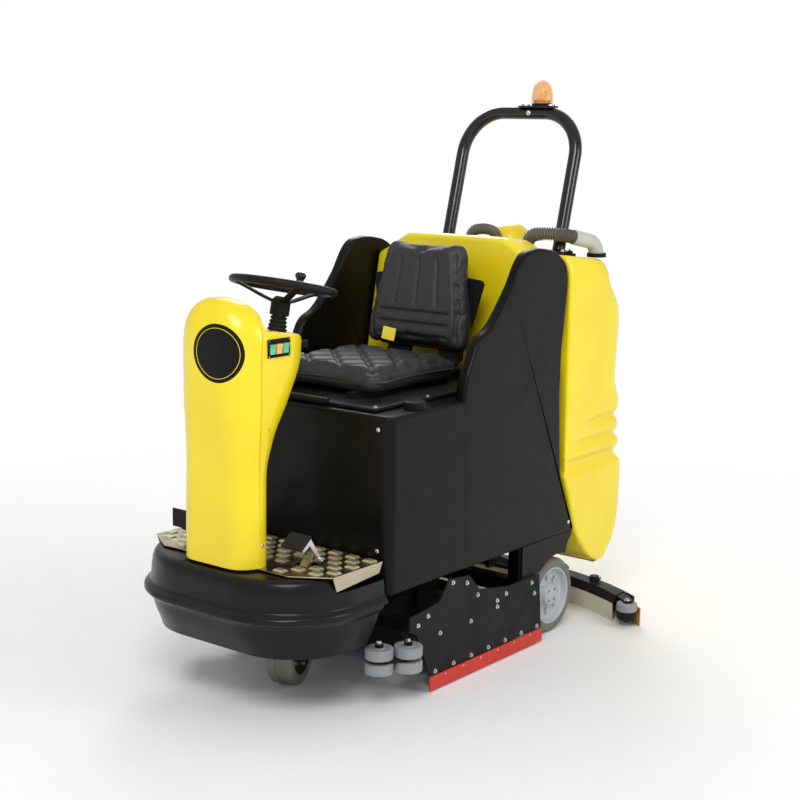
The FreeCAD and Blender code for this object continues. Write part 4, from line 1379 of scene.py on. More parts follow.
@dataclass
class Column(SubAssembly):
    """The yellow steering column cover: a domed head in front of a flat console.

    Attributes:
        rows: Height, half width, front, rear, front radius and rear radius of the body.
        head: The same figures for the front half, up over the dome.
        proud: How far the front half stands out at the moulding seam.
        badge: Radius of the round badge, its turn towards the left in degrees, and its height.
    """

    rows: tuple[tuple[float, ...], ...] = (
        (455, 138, -826, -706, 70, 50), (712, 138, -826, -702, 78, 54), (825, 144, -832, -658, 96, 84),
        (933, 150, -838, -586, 106, 108), (1040, 150, -840, -522, 110, 133),
        (1118, 150, -840, -514, 110, 135))
    head: tuple[tuple[float, ...], ...] = (
        (1040, 150, -840, -760, 110, 3), (1092, 148, -840, -755, 109, 4), (1124, 143, -840, -742, 106, 12),
        (1150, 133, -837, -736, 98, 14), (1174, 117, -832, -730, 86, 14), (1194, 95, -825, -730, 70, 13),
        (1209, 68, -815, -738, 50, 12), (1219, 38, -804, -752, 26, 10))
    proud: float = 0.4
    badge: tuple[float, float, float] = (83.0, 22.0, 1074.0)

    @staticmethod
    def _slope(y: float) -> float:
        """Rise of the console's top, which slopes down to the driver.

        Args:
            y: Place along the machine.

        Returns:
            The rise.
        """
        return 17.0 - 36.0 * ease(y, -760.0, -500.0)

    def build(self) -> None:
        """Make the cover and its dome as one moulding."""
        heights = [455 + k * 25.2 for k in range(25)]
        loops = [plan_loop(h, f, r, a, b, z, 10, 6)
                 for z, h, f, r, a, b in even_curve(self.rows, heights[:-1])]
        top = even_curve(self.rows, [1086.0])[0]
        for k in range(6):
            angle = math.pi / 2 * k / 5
            cut, rise = 12 * (1 - math.cos(angle)), 32 * math.sin(angle)
            z, h, f, r, a, b = top
            flat = plan_loop(h - cut, f + cut, r - cut, a - cut, b - cut, z + rise, 10, 6)
            loops.append([Vector((p.x, p.y, p.z + self._slope(p.y) * k / 5)) for p in flat])
        maker = MeshMaker().loft(loops)
        lower = [(z, h, f, -760.0, a, 3.0) for z, h, f, _, a, _ in self.rows[:-2]]
        table = [*lower, *self.head]
        places = [*np.linspace(455, 1124, 26),
                  *(1124 + 95 * math.sin(math.pi / 2 * k / 14) for k in range(1, 15))]
        p = self.proud
        loops = [plan_loop(h + p, f - p, r, a + p, b, z, 10)
                 for z, h, f, r, a, b in even_curve(table, places)]
        _, h, f, r, a, b = even_curve(table, [1219])[0]
        loops.append(plan_loop(h - 18, f + 5, r - 3, a - 5, b - 3, 1222, 10))
        maker.loft(loops)
        place("column_moulding", maker.mesh("column"), Finishes.YELLOW, "chassis", ("column_shell",), 0, 38)
        refine("column_back_cover", Finishes.MATT, 1.0)

    def dress(self) -> None:
        """Add the round badge with its plain ring, and the cover's screws."""
        radius, turn, middle = self.badge
        angle = math.radians(turn)
        out, run = Vector((math.sin(angle), -math.cos(angle), 0)), Vector((math.cos(angle), math.sin(angle),
                                                                           0))
        skin = BVHTree.FromObject(bpy.data.objects["column_moulding"], bpy.context.evaluated_depsgraph_get())
        start = Vector((46, -836, middle)) + out * 60

        def oval(share: float, proud: float, count: int = 64) -> Loop:
            """Round loop laid on the column's skin."""
            loop = []
            for k in range(count):
                t = math.tau * k / count
                spot = start + run * radius * share * math.cos(t) + UP * radius * share * math.sin(t)
                hit = skin.ray_cast(spot * MM, -out)[0]
                loop.append(hit / MM + out * proud)
            return loop

        shares = ((1.0, -1.5), (1.0, 0.8), (0.985, 1.6), (0.95, 1.8), (0.90, 1.6), (0.75, 1.6), (0.6, 1.6),
                  (0.4, 1.6), (0.2, 1.6), (0.03, 1.6))
        disc = MeshMaker().loft([oval(share, proud) for share, proud in shares])
        place("column_badge", disc.mesh("badge"), Finishes.MATT, "chassis", (), 0, 60)
        ring = MeshMaker().sweep(oval(0.86, 1.8, 72), 0.9, 8, closed=True)
        place("column_badge_ring", ring.mesh("ring"), Finishes.YELLOW, "chassis", (), 0, 60)
        spots = [(Vector((side * 138.2, y, 520)), Vector((side, 0, 0))) for side in (1, -1) for y in (-752,)]
        spots += [(Vector((x, -712.8, z)), REAR) for x in (-88, 88) for z in (470, 676)]
        Scatter("column_screws", Unit.DOME, 6, 6, 3, Finishes.STEEL).on(spots, "chassis")


@dataclass
class ControlDesk(SubAssembly):
    """The switch panel on the column's left side, and the key."""

    def build(self) -> None:
        """Finish the bezel, the lit rockers and the key knob."""
        refine("control_panel", Finishes.MATT, 0.7)
        lamps = {"rocker_1": Finishes.GREEN, "rocker_2": Finishes.AMBER, "rocker_3": Finishes.GREEN}
        for node, finish in lamps.items():
            refine(node, finish, 0.8)
        refine("key_knob", Finishes.MATT, 0.8)

    def dress(self) -> None:
        """Add the bezel's corner screws."""
        low, high = (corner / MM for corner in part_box("control_panel"))
        spots = [(Vector((high.x, y, z)), LEFT) for y in (low.y + 4, high.y - 4)
                 for z in (low.z + 4, high.z - 4)]
        Scatter("control_panel_screws", Unit.DOME, 2.0, 2.0, 1, Finishes.STEEL).on(spots, "chassis")


@dataclass
class Steering(SubAssembly):
    """Steering wheel, spinner knob, bellows and shaft.

    Attributes:
        centre: Middle of the wheel.
        tilt: How far the wheel leans back, in degrees.
        rim: Radius of the rim's middle line and of its section.
        knob_turn: Where the spinner knob stands on the rim, in degrees.
    """

    centre: Vector = field(default_factory=lambda: Vector((0, -513, 1235)))
    tilt: float = 12.5
    rim: tuple[float, float] = (150.0, 12.0)
    knob_turn: float = 24.0

    def on_axis(self) -> Matrix:
        """The move from the origin onto the steering axis."""
        return Matrix.Translation(self.centre) @ Matrix.Rotation(-math.radians(self.tilt), 4, "X")

    def build(self) -> None:
        """Make the rim, the spokes with their hub, the knob and the bellows."""
        radius, bar = self.rim
        circle = [Vector((radius * math.cos(t), radius * math.sin(t), 0))
                  for t in (math.tau * k / 120 for k in range(120))]
        rim = MeshMaker().sweep(circle, bar, 20, closed=True).moved(self.on_axis())
        place("steering_rim", rim.mesh("rim"), Finishes.RIM_BLACK, "steering", ("steering_wheel",), 0, 60)
        spokes = MeshMaker()
        for angle in (90, 210, 330):
            turn = Matrix.Rotation(math.radians(angle), 3, "Z")
            line = even_curve(((16, -50), (60, -36), (110, -17), (radius, -3)), np.linspace(16, radius, 12))
            spokes.sweep([turn @ Vector((x, 0, z)) for x, z in line], 12.5, 16, squash=0.42)
        hub = ((12.4, -88), (27, -88), (29, -86), (29, -48), (27, -42), (21, -36), (19, -33), (0, -32),
               (0, -46), (12.4, -46))
        spokes.revolve(hub, Vector((0, 0, 0)), UP, 40)
        knob_at = Matrix.Rotation(math.radians(self.knob_turn), 3, "Z") @ Vector((0, radius, 0))
        spokes.revolve(((0, 8), (5, 8), (5, 30), (0, 30)), knob_at, UP, 16)
        place("steering_spokes", spokes.moved(self.on_axis()).mesh("spokes"), Finishes.MATT, "steering", (),
              0, 50)
        mushroom = ((5.2, 14), (12, 14), (13.5, 16), (14, 22), (11.5, 29), (11.5, 34), (15, 39), (17, 44),
                    (16.5, 49), (13.5, 53.5), (8, 56.3), (0, 57), (0, 31), (5.2, 31))
        knob = MeshMaker().revolve(mushroom, knob_at, UP, 40).moved(self.on_axis())
        place("spinner_knob_turned", knob.mesh("knob"), Finishes.BAR, "spinner", ("spinner_knob",), 0, 50)
        folds = [(16.0, -89.0)]
        for k in range(49):
            share = k / 48
            ridge = 4.0 * (0.5 - 0.5 * math.cos(math.tau * 4 * share))
            folds.append((20.5 + 6.0 * share + ridge, -89 - 46 * share))
        folds.append((16.0, -135.0))
        boot = MeshMaker().revolve(folds, Vector((0, 0, 0)), UP, 40).moved(self.on_axis())
        body = body_of(frame["nodes"]["steering_boot"])[0]
        place("steering_bellows", boot.mesh("boot"), Finishes.RUBBER, body, ("steering_boot",), 0, 60)
        refine("steering_shaft", Finishes.STEEL, 0.6)

    def dress(self) -> None:
        """Add the hub's cap screws."""
        place_at = self.on_axis()
        axis = (place_at.to_3x3() @ UP).normalized()
        spots = [(place_at @ Vector((12 * math.cos(t), 12 * math.sin(t), -32.4)), axis)
                 for t in (math.tau * k / 3 for k in range(3))]
        Scatter("steering_hub_screws", Unit.DOME, 2.6, 2.6, 1.5, Finishes.STEEL).on(spots, "steering")


@dataclass
class DriveWheel(SubAssembly):
    """The steered and driven front wheel in its fork.

    Attributes:
        centre: Middle of the wheel.
        turn: The fork's turn at rest, in degrees.
    """

    centre: Vector = field(default_factory=lambda: Vector((0, -480, 115)))
    turn: float = 22.0

    def axis(self) -> Vector:
        """Direction of the wheel's axle."""
        return Matrix.Rotation(math.radians(self.turn), 3, "Z") @ LEFT

    def build(self) -> None:
        """Make the tyre and hub, and finish the fork and its motor."""
        refine("front_fork", Finishes.PAINT, 1.2)
        refine("drive_motor", Finishes.PAINT, 1.5)
        tread = ((82.4, -39), (103, -40), (110, -38.5), (114, -34), (115, -27), (115, -11), (112, -9),
                 (112, 9),
                 (115, 11), (115, 27), (114, 34), (110, 38.5), (103, 40), (82.4, 39))
        tyre = MeshMaker().revolve(tread, self.centre, self.axis(), 96)
        place("front_tyre_tread", tyre.mesh("tyre"), Finishes.TYRE, "front_wheel", ("front_tyre",), 0, 40)
        disc = ((0, -74), (13.9, -74), (13.9, -46), (37, -46), (41, -42), (46, -35), (60, -32), (76, -35),
                (82.6, -38.5), (82.6, 38.5), (76, 35), (60, 32), (46, 35), (41, 42), (37, 46), (13.9, 46),
                (13.9, 74), (0, 74))
        hub = MeshMaker().revolve(disc, self.centre, self.axis(), 72)
        place("front_hub_disc", hub.mesh("hub"), Finishes.PAINT, "front_wheel", ("front_hub",), 0, 40)

    def dress(self) -> None:
        """Bolt the hub, and add the motor's cooling ribs."""
        turn = Matrix.Rotation(math.radians(self.turn), 3, "Z")
        spots = []
        for side in (1, -1):
            for k in range(5):
                t = math.tau * k / 5
                at = Vector((side * 32.5, 60 * math.cos(t), 60 * math.sin(t)))
                spots.append((self.centre + turn @ at, turn @ Vector((side, 0, 0))))
        Scatter("front_hub_bolts", Unit.BOLT, 6.5, 6.5, 6, Finishes.STEEL).on(spots, "front_wheel")
        ribs = []
        for k in range(14):
            t = math.pi * (0.08 + 0.84 * k / 13)
            way = turn @ Vector((0, math.cos(t), math.sin(t)))
            base = self.centre + Vector((0, 0, 57)) + turn @ Vector((-116, 0, 0))
            ribs.append((base + way * 41.5, way))
        Scatter("drive_motor_ribs", Unit.RIB, 62, 3, 4, Finishes.PAINT).on(ribs, "fork", self._spins(ribs))

    @staticmethod
    def _spins(spots: Sequence[Spot]) -> list[float]:
        """Turn of each rib that lays it along the motor.

        Args:
            spots: The ribs' places and directions.

        Returns:
            The turns, in degrees.
        """
        turns = []
        for _, way in spots:
            aim = UP.rotation_difference(way).to_matrix()
            target = Vector((math.cos(math.radians(22)), math.sin(math.radians(22)), 0))
            local = aim.transposed() @ target
            turns.append(math.degrees(math.atan2(local.y, local.x)))
        return turns


@dataclass
class Pedals(SubAssembly):
    """The accelerator treadle and the brake pedal."""

    def build(self) -> None:
        """Finish both pedals."""
        refine("accelerator_pedal", Finishes.STEEL, 1.0)
        pad = MeshMaker().slab(((-41, -28), (41, -28), (41, 30), (-41, 30)), Plane.PLAN, 0.2, 5.0, 6, 1.5)
        lie = Matrix.Translation(Vector((205, -682, 526))) @ Matrix.Rotation(math.atan2(28, 36), 4, "X")
        place("accelerator_pad", pad.moved(lie).mesh("pad"), Finishes.RUBBER, "accelerator", (), 0, 40)
        refine("brake_pedal", Finishes.PAINT, 1.0)

    def dress(self) -> None:
        """Rib the faces the shoes press."""
        way = Vector((0, 0.835, 0.549))
        spots = [(Vector((205, -664 + 46 * t, 540 - 70 * t)), way) for t in (0.15, 0.32, 0.49, 0.66, 0.83)]
        Scatter("accelerator_grip", Unit.RIB, 70, 6, 3, Finishes.RUBBER).on(spots, "accelerator")
        spots = [(Vector((-216, -722, z)), REAR) for z in (511, 521, 531, 541, 551)]
        Scatter("brake_grip", Unit.RIB, 68, 5, 3, Finishes.RUBBER).on(spots, "brake")


# ------------------------------------------------------------------ body
@dataclass
class SolutionTank(SubAssembly):
    """The black body: a water tank round the battery bay, with tall side wings.

    Attributes:
        half: Half its width.
        wing_in: Inner face of a wing.
        wing: Outline of a wing in the side view.
        bay: Lowest and highest corner of the battery bay.
        guard: Outline of the guard over a rear wheel, in the side view.
    """

    half: float = 376.5
    wing_in: float = 338.0
    wing: tuple[tuple[float, float], ...] = (
        (-112, 800), (-110, 925), (-68, 1010), (-40, 1066), (25, 1090), (81, 1147), (137, 1214), (178, 1282),
        (214, 1316), (291, 1324), (390, 1308), (452, 1265), (464, 1211), (452, 1110), (435, 979), (432, 822),
        (449, 560), (538, 352), (538, 346), (-100, 346))
    bay: tuple[tuple[float, float, float], tuple[float, float, float]] = ((-286, -430, 420), (286, 96, 900))
    guard: tuple[tuple[float, float], ...] = (
        (235, 348), (537, 348), (530, 326), (510, 309), (500, 272), (475, 278), (450, 280), (425, 278),
        (400, 272),
        (375, 261), (350, 246), (330, 240), (235, 240))

    def build(self) -> None:
        """Cut the bay and the wheel arches from the block and add the wings."""
        flat = ((-self.half, -470), (self.half, -470), (self.half, 431), (-self.half, 431))
        block = MeshMaker().slab(flat, Plane.PLAN, 345, 880, 34, 12).mesh("block")
        wing = MeshMaker().slab(self.wing, Plane.SIDE, self.wing_in, self.half + 0.5, 26, 11)
        arch = MeshMaker().revolve(((0, 0), (150, 0), (150, 110), (0, 110)), Vector((285, 450, 130)), LEFT,
                                   64)
        cuts = [MeshMaker().box(*self.bay).mesh("bay"), arch.mirrored().mesh("arches")]
        block = combine(block, cuts, "DIFFERENCE")
        body = joined(block, wing.mirrored().mesh("wings"))
        place("body_moulding", body, Finishes.SHELL, "chassis", ("solution_tank",), 0, 32)
        guard = MeshMaker().slab(self.guard, Plane.SIDE, 366, 374, 5, 1.5)
        place("wheel_guards", guard.mirrored().mesh("guards"), Finishes.SHELL, "chassis", (), 0, 35)
        neck = MeshMaker().revolve(((21, 872), (27, 872), (27, 894), (21, 894)), Vector((332, -300, 0)), UP,
                                   40)
        place("filler_neck", neck.mesh("neck"), Finishes.SHELL, "chassis", (), 0, 40)
        cap = ((27.4, 881), (33.6, 881), (34, 883), (34, 896), (33, 900), (29, 902.4), (22, 902.4), (20, 901),
               (0, 901), (0, 895.2), (27.4, 895.2))
        grip = MeshMaker().revolve(cap, Vector((332, -300, 0)), UP, 96,
                                   lambda t, z: 1
                                   - (0.03 * (0.5 + 0.5 * math.cos(24 * t)) if 882 < z < 897 else 0))
        place("filler_cap_turned", grip.mesh("cap"), Finishes.MATT, "cap", ("filler_cap",), 0, 35)

    def dress(self) -> None:
        """Add the body's fixing screws."""
        spots = [(Vector((side * 376.6, y, z)), Vector((side, 0, 0)))
                 for side in (1, -1) for y, z in ((508, 380),)]
        spots += [(Vector((x, -469.8, z)), Vector((0, -1, 0))) for x in (-330, 330) for z in (478, 840)]
        Scatter("body_screws", Unit.DOME, 7, 7, 3, Finishes.STEEL).on(spots, "chassis")


@dataclass
class Batteries(SubAssembly):
    """The traction batteries under the seat."""

    def build(self) -> None:
        """Finish the cases."""
        refine("batteries", Finishes.BATTERY, 2.0)

    def dress(self) -> None:
        """Cap each battery's cells."""
        spots = [(Vector((x + dx, y + dy, 690)), UP) for x in (-275, -88, 99) for y in (-420, -165)
                 for dx in (48, 88, 128) for dy in (110, 190)]
        Scatter("battery_caps", Unit.DOME, 12, 12, 6, Finishes.AMBER).on(spots, "chassis")


@dataclass
class Seat(SubAssembly):
    """The driver's seat: quilted cushion, channelled back, frame and latch.

    Attributes:
        back_half: Half width and height of the back's outline.
        lean: Lean of the back, in degrees.
        hinge: Depth and height of the back's lower edge.
        quilt: Distance between the quilting lines.
    """

    back_half: tuple[tuple[float, float], ...] = (
        (212, 986), (214, 1110), (187, 1232), (168, 1312), (154, 1336), (130, 1346))
    lean: float = 9.0
    hinge: tuple[float, float] = (104.0, 975.0)
    quilt: float = 88.0

    def build(self) -> None:
        """Finish the frame and make both pads."""
        refine("seat_frame", Finishes.PAINT, 1.0)
        refine("seat_latch", Finishes.MATT, 1.0)
        self._cushion()
        self._back()
        self._backing()

    def _cushion(self) -> None:
        """Swell the cushion, quilt its top and pipe its edge."""
        flat = ((-224, -362), (224, -362), (224, 86), (-224, 86))
        form = MeshMaker().slab(flat, Plane.PLAN, 918, 969, 46, 18).mesh("cushion")
        pad = Padding(most=20.0).swell(form)

        def quilted(x: float, y: float, z: float) -> tuple[float, float, float]:
            """Diamond quilting on top, and a flat base."""
            if z < 914.5:
                return (0, 0, 914.5 - z)
            if z < 950:
                return (0, 0, 0)
            inside = ease(min(224 - abs(x), y + 362, 86 - y), 8, 55)
            depth = 0.0
            for place_on in ((x + y + 138) / math.sqrt(2), (x - y - 138) / math.sqrt(2)):
                off = abs((place_on + self.quilt / 2) % self.quilt - self.quilt / 2)
                depth += 8.5 * notch(off, 9.0)
            return (0, 0, -depth * inside * ease(z, 950, 966))

        sewn(pad, quilted)
        cushion = place("seat_cushion_quilted", pad, Finishes.VINYL, "seat", ("seat_cushion",), 0, 80)
        ring = self._edge_of(pad, 946, Vector((0, -138, 0)))
        piping = MeshMaker().sweep(ring, 4.0, 10, closed=True)
        place("seat_cushion_piping", piping.mesh("piping"), Finishes.VINYL, "seat", (), 0, 80)

    @staticmethod
    def _edge_of(pad: bpy.types.Mesh, height: float, middle: Vector) -> Loop:
        """The widest line round a pad near a height.

        Args:
            pad: The pad.
            height: The height in millimetres.
            middle: Middle of the pad in plan.

        Returns:
            A closed loop of points.
        """
        near = [v.co / MM for v in pad.vertices if abs(v.co.z / MM - height) < 7]
        reach = [0.0] * 120
        for point in near:
            away = Vector((point.x - middle.x, point.y - middle.y))
            slot = int(math.atan2(away.y, away.x) / math.tau * 120) % 120
            reach[slot] = max(reach[slot], away.length)
        smooth = [sum(reach[(k + d) % 120] or reach[k] for d in (-1, 0, 1)) / 3 for k in range(120)]
        turns = (math.tau * (k + 0.5) / 120 for k in range(120))
        return [Vector((middle.x + r * math.cos(t), middle.y + r * math.sin(t), height))
                for r, t in zip(smooth, turns)]

    def _back(self) -> None:
        """Swell the back, press its channels and lean it."""
        outline = [*self.back_half, *((-x, z) for x, z in reversed(self.back_half))]
        form = MeshMaker().slab(outline, Plane.FRONT, 8, 54, 42, 17).mesh("back")
        pad = Padding(most=20.0).swell(form)

        def channelled(x: float, y: float, z: float) -> tuple[float, float, float]:
            """Upright channels in the upper half and rolls below, on the front face."""
            if y > 61:
                return (0, 61 - y, 0)
            if y > 26:
                return (0, 0, 0)
            half = 212 - 0.22 * max(0.0, z - 1100)
            upper = ease(z, 1112, 1140) * (1 - ease(z, 1270, 1300))
            sides = ease(z, 1010, 1040) * (1 - ease(z, 1285, 1315))
            depth = 9.0 * notch(abs(abs(x) - 0.80 * half), 8) * sides
            if abs(x) < 0.74 * half:
                for line in (-0.42, 0.0, 0.42):
                    depth += 8.0 * notch(abs(x - line * half), 7) * upper
                for line in (1026, 1064, 1102):
                    depth += 7.0 * notch(abs(z - line), 7) * (1 - ease(abs(x), 0.60 * half, 0.74 * half))
            return (0, depth * (1 - ease(y, 10, 26)), 0)

        sewn(pad, channelled)
        y, z = self.hinge
        pad.transform(Matrix.Translation(Vector((0, y, z)) * MM)
                      @ Matrix.Rotation(-math.radians(self.lean), 4, "X")
                      @ Matrix.Translation(Vector((0, 0, -z)) * MM))
        back = place("seat_back_channelled", pad, Finishes.VINYL, "seat", ("seat_back",), 0, 80)

    def _backing(self) -> None:
        """The hard shell behind the back, wider than the pad at its shoulders."""
        half = ((168, 990), (200, 1100), (224, 1214), (216, 1226), (150, 1232))
        outline = [*half, *((-x, z) for x, z in reversed(half))]
        y, z = self.hinge
        shell = MeshMaker().slab(outline, Plane.FRONT, 48, 60, 10, 3).moved(
            Matrix.Translation(Vector((0, y, z))) @ Matrix.Rotation(-math.radians(self.lean), 4, "X")
            @ Matrix.Translation(Vector((0, 0, -z))))
        place("seat_back_shell", shell.mesh("shell"), Finishes.MATT, "seat", (), 0, 40)

    def dress(self) -> None:
        """Hang the care tag and bolt the frame."""
        tag = MeshMaker().slab(((-27, -21), (27, -21), (27, 21), (-27, 21)), Plane.FRONT, -1.2, 1.2, 5, 0.5)
        tag.moved(Matrix.Translation(Vector((-90, 99, 1024))) @ Matrix.Rotation(math.radians(-9), 4, "X")
                  @ Matrix.Rotation(math.radians(6), 4, "Y"))
        place("seat_tag", tag.mesh("tag"), Finishes.TAG, "seat", (), 0, 40)
        string = [Vector((-90 + 2 * k, 102 + 1.2 * k, 1044 + 5 * k)) for k in range(4)]
        place("seat_tag_string", MeshMaker().sweep(string, 1.0, 8).mesh("string"), Finishes.RUBBER, "seat",
              (), 0, 60)
        spots = [(Vector((side * 278, y, 892)), UP) for side in (1, -1) for y in (-420, -170, 90)]
        Scatter("seat_frame_bolts", Unit.BOLT, 6, 6, 5, Finishes.STEEL).on(spots, "seat")


@dataclass
class RecoveryTank(SubAssembly):
    """The yellow dirty-water tank behind the seat, with its ribbed rear corners.

    Attributes:
        rear: Height and rear end of the tank.
        front: Height and front end of the tank.
        half: Half its width.
        corner: Radius of its rear corners.
        hump: Outline of the part behind the seat back, in the side view.
        ribs: Heights of the grooves between the ribs.
    """

    rear: tuple[tuple[float, float], ...] = (
        (190, 740), (205, 778), (226, 812), (268, 852), (320, 873), (400, 884), (480, 888), (700, 888),
        (765, 886),
        (799, 871), (843, 856), (895, 858), (953, 863), (1024, 871), (1086, 865), (1133, 834), (1180, 799),
        (1216, 790), (1250, 782))
    front: tuple[tuple[float, float], ...] = ((190, 712), (232, 641), (340, 553), (450, 512), (560, 475),
                                              (884, 475),
                                              (1250, 475))
    half: float = 380.0
    corner: float = 110.0
    hump: tuple[tuple[float, float], ...] = ((264, 894), (332, 1336), (352, 1345), (490, 1330), (490, 894))
    ribs: tuple[float, ...] = (709.0, 642.0)

    def _top(self, y: float) -> float:
        """Height of the sloping top.

        Args:
            y: Place along the machine.

        Returns:
            The height.
        """
        return 1290 - (y - 474) * (34 / 296) if y < 770 else 1256 - (y - 770) * (18 / 130)

    def _pressed(self, loop: Loop) -> Loop:
        """Press the ribs into an outline's rear corners.

        Args:
            loop: The outline.

        Returns:
            The outline with its grooves.
        """
        made = []
        count = len(loop)
        for k, here in enumerate(loop):
            run = loop[(k + 1) % count] - loop[k - 1]
            out = Vector((run.y, -run.x, 0)).normalized()
            start = 497 + (here.z - 607) * 1.05
            share = ease(here.y, start - 15, start + 60)
            depth = sum(14.0 * notch(here.z - z, 15.0) for z in self.ribs) * share
            waist = 16.0 * ease(here.z, 536, 566) * (1 - ease(here.z, 580, 606))
            ledge = 7.0 * ease(here.z, 540, 566) * (1 - ease(here.z, 606, 840)) * (1 - 0.6 * share)
            made.append(here - out * (depth + waist * (0.35 + 0.65 * share) + ledge))
        return made

    def _hump(self) -> bpy.types.Mesh:
        """The part behind the seat back, with falling shoulders.

        Returns:
            Its mesh.
        """
        flat = round_corners(self.hump, 24)
        loops = []
        for k in range(41):
            w = 333 * math.sin(math.pi / 2 * (k / 20 - 1))
            past = max(0.0, abs(w) - 313)
            inset = 20 - math.sqrt(max(0.0, 400 - past * past))
            fall = 74 * ease(abs(w), 175, 345)
            loops.append([Vector((w, y, z - fall * ease(z, 1120, 1330))) for y, z in shrink(flat, inset)])
        return MeshMaker().loft(loops).mesh("hump")

    def build(self) -> None:
        """Make the tank, its hump and its collar, and open the throat."""
        heights = [*np.linspace(190, 530, 22), *np.linspace(536, 860, 62), *np.linspace(880, 1190, 14)]
        fronts, rears = even_curve(self.front, heights), even_curve(self.rear, heights)
        loops = []
        bottom = 24.0
        for (z, front), (_, rear) in zip(fronts, rears):
            rise = z - 190
            cut = bottom - math.sqrt(max(0.0, bottom ** 2 - (bottom - rise) ** 2)) if rise < bottom else 0.0
            depth = rear - front
            radius = min(72 + (self.corner - 72) * ease(z, 480, 700), depth * 0.45)
            loop = plan_loop(self.half - cut, front + cut, rear - cut, 14, radius, z, 11, 26)
            loops.append(self._pressed(loop))
        z0, radius = 1190.0, 34.0
        _, rear = even_curve(self.rear, [z0])[0]
        for k in range(1, 9):
            angle = math.pi / 2 * k / 8
            cut = radius * (1 - math.cos(angle))
            drop = 1 - math.sin(angle)
            back = rear - cut - 22 * (k / 8)
            loop = plan_loop(self.half - cut, 475 + cut * 0.3, back, 14, self.corner - cut, z0, 11, 26)
            loops.append([Vector((p.x, p.y, z0 + (self._top(p.y) - 1.5 - z0) * (1 - drop))) for p in loop])
        tank = MeshMaker().loft(loops).mesh("tank")
        hump = self._hump()
        collar = ((0, 1240), (78, 1240), (78, 1299), (75, 1302), (0, 1302))
        collar = MeshMaker().revolve(collar, Vector((20, 640, 0)), UP, 64).mesh("collar")
        tank = combine(tank, [hump, collar], "UNION")
        throat = MeshMaker().revolve(((0, 1120), (64, 1120), (64, 1320), (0, 1320)), Vector((20, 640, 0)), UP,
                                     64)
        tank = combine(tank, [throat.mesh("throat")], "DIFFERENCE")
        place("recovery_tank_moulding", tank, Finishes.YELLOW, "chassis", ("recovery_tank",), 0, 35)
        dome = ((0, 1302.5), (84, 1302.5), (84, 1310), (82, 1314), (76, 1318), (68, 1322), (63, 1334),
                (56, 1348),
                (44, 1359), (28, 1366), (12, 1368.5), (0, 1369))
        lid = MeshMaker().revolve(dome, Vector((20, 640, 0)), UP, 72)
        lid.box((-6, 710, 1302.5), (46, 742, 1316.5), 2.0)
        lid.revolve(((0, 0), (7, 0), (7, 52), (0, 52)), Vector((-6, 742, 1309.5)), LEFT, 24)
        place("recovery_lid_moulding", lid.mesh("lid"), Finishes.YELLOW, "lid", ("recovery_lid",), 0, 40)
        refine("vacuum_motor", Finishes.PAINT, 1.0)

    def dress(self) -> None:
        """Rib the lid's edge."""
        spots, spins = [], []
        for k in range(24):
            t = math.tau * k / 24
            if abs(t - math.pi / 2) > 0.4:
                spots.append((Vector((20 + 76 * math.cos(t), 640 + 76 * math.sin(t), 1316.5)), UP))
                spins.append(math.degrees(t))
        Scatter("recovery_lid_ribs", Unit.RIB, 12, 4, 3.5, Finishes.YELLOW).on(spots, "lid", spins)


@dataclass
class Hoses(SubAssembly):
    """The ribbed hoses on top of the tank and the short one down to the squeegee.

    Attributes:
        vacuum: Route of the small loop.
        suction: Route of the large hose over to the tank's left side.
    """

    vacuum: tuple[tuple[float, float, float], ...] = (
        (-70, 512, 1290.5), (-66, 512, 1345), (-5, 514, 1358), (56, 512, 1345), (60, 512, 1290.5))
    suction: tuple[tuple[float, float, float], ...] = (
        (168, 520, 1290.5), (170, 516, 1338), (225, 522, 1352), (285, 570, 1347), (312, 640, 1330),
        (325, 706, 1316), (326, 713, 1273))

    def build(self) -> None:
        """Make the hoses along their routes."""
        small, large = [Vector(p) for p in self.vacuum], [Vector(p) for p in self.suction]
        Corrugated("vacuum_hose_ribbed", 16.4, 2.4, 7.0, Finishes.HOSE).along(small, "chassis",
                                                                              ("vacuum_hose",))
        Corrugated("suction_hose_ribbed", 20.6, 2.8, 8.0, Finishes.HOSE).along(large, "chassis",
                                                                               ("suction_hose",))
        tail = [large[3].lerp(large[4], 0.5), *large[4:]]
        Corrugated("suction_hose_elbow", 25.4, 0.0, 24.0, Finishes.CUFF).along(tail, "chassis", ())
        refine("hose_cuffs", Finishes.MATT, 0.8)
        down = [Vector((0, 800, z)) for z in (136, 150, 172, 186)]
        bellows = Corrugated("squeegee_hose_bellows", 24.4, 2.4, 9.0, Finishes.RUBBER)
        short = bellows.along(down, None, ("squeegee_hose",))
        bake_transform(short, "squeegee_lift_arm", "chassis", start=(0, 0.8, 0.138), end=(0, 0.8, 0.184))


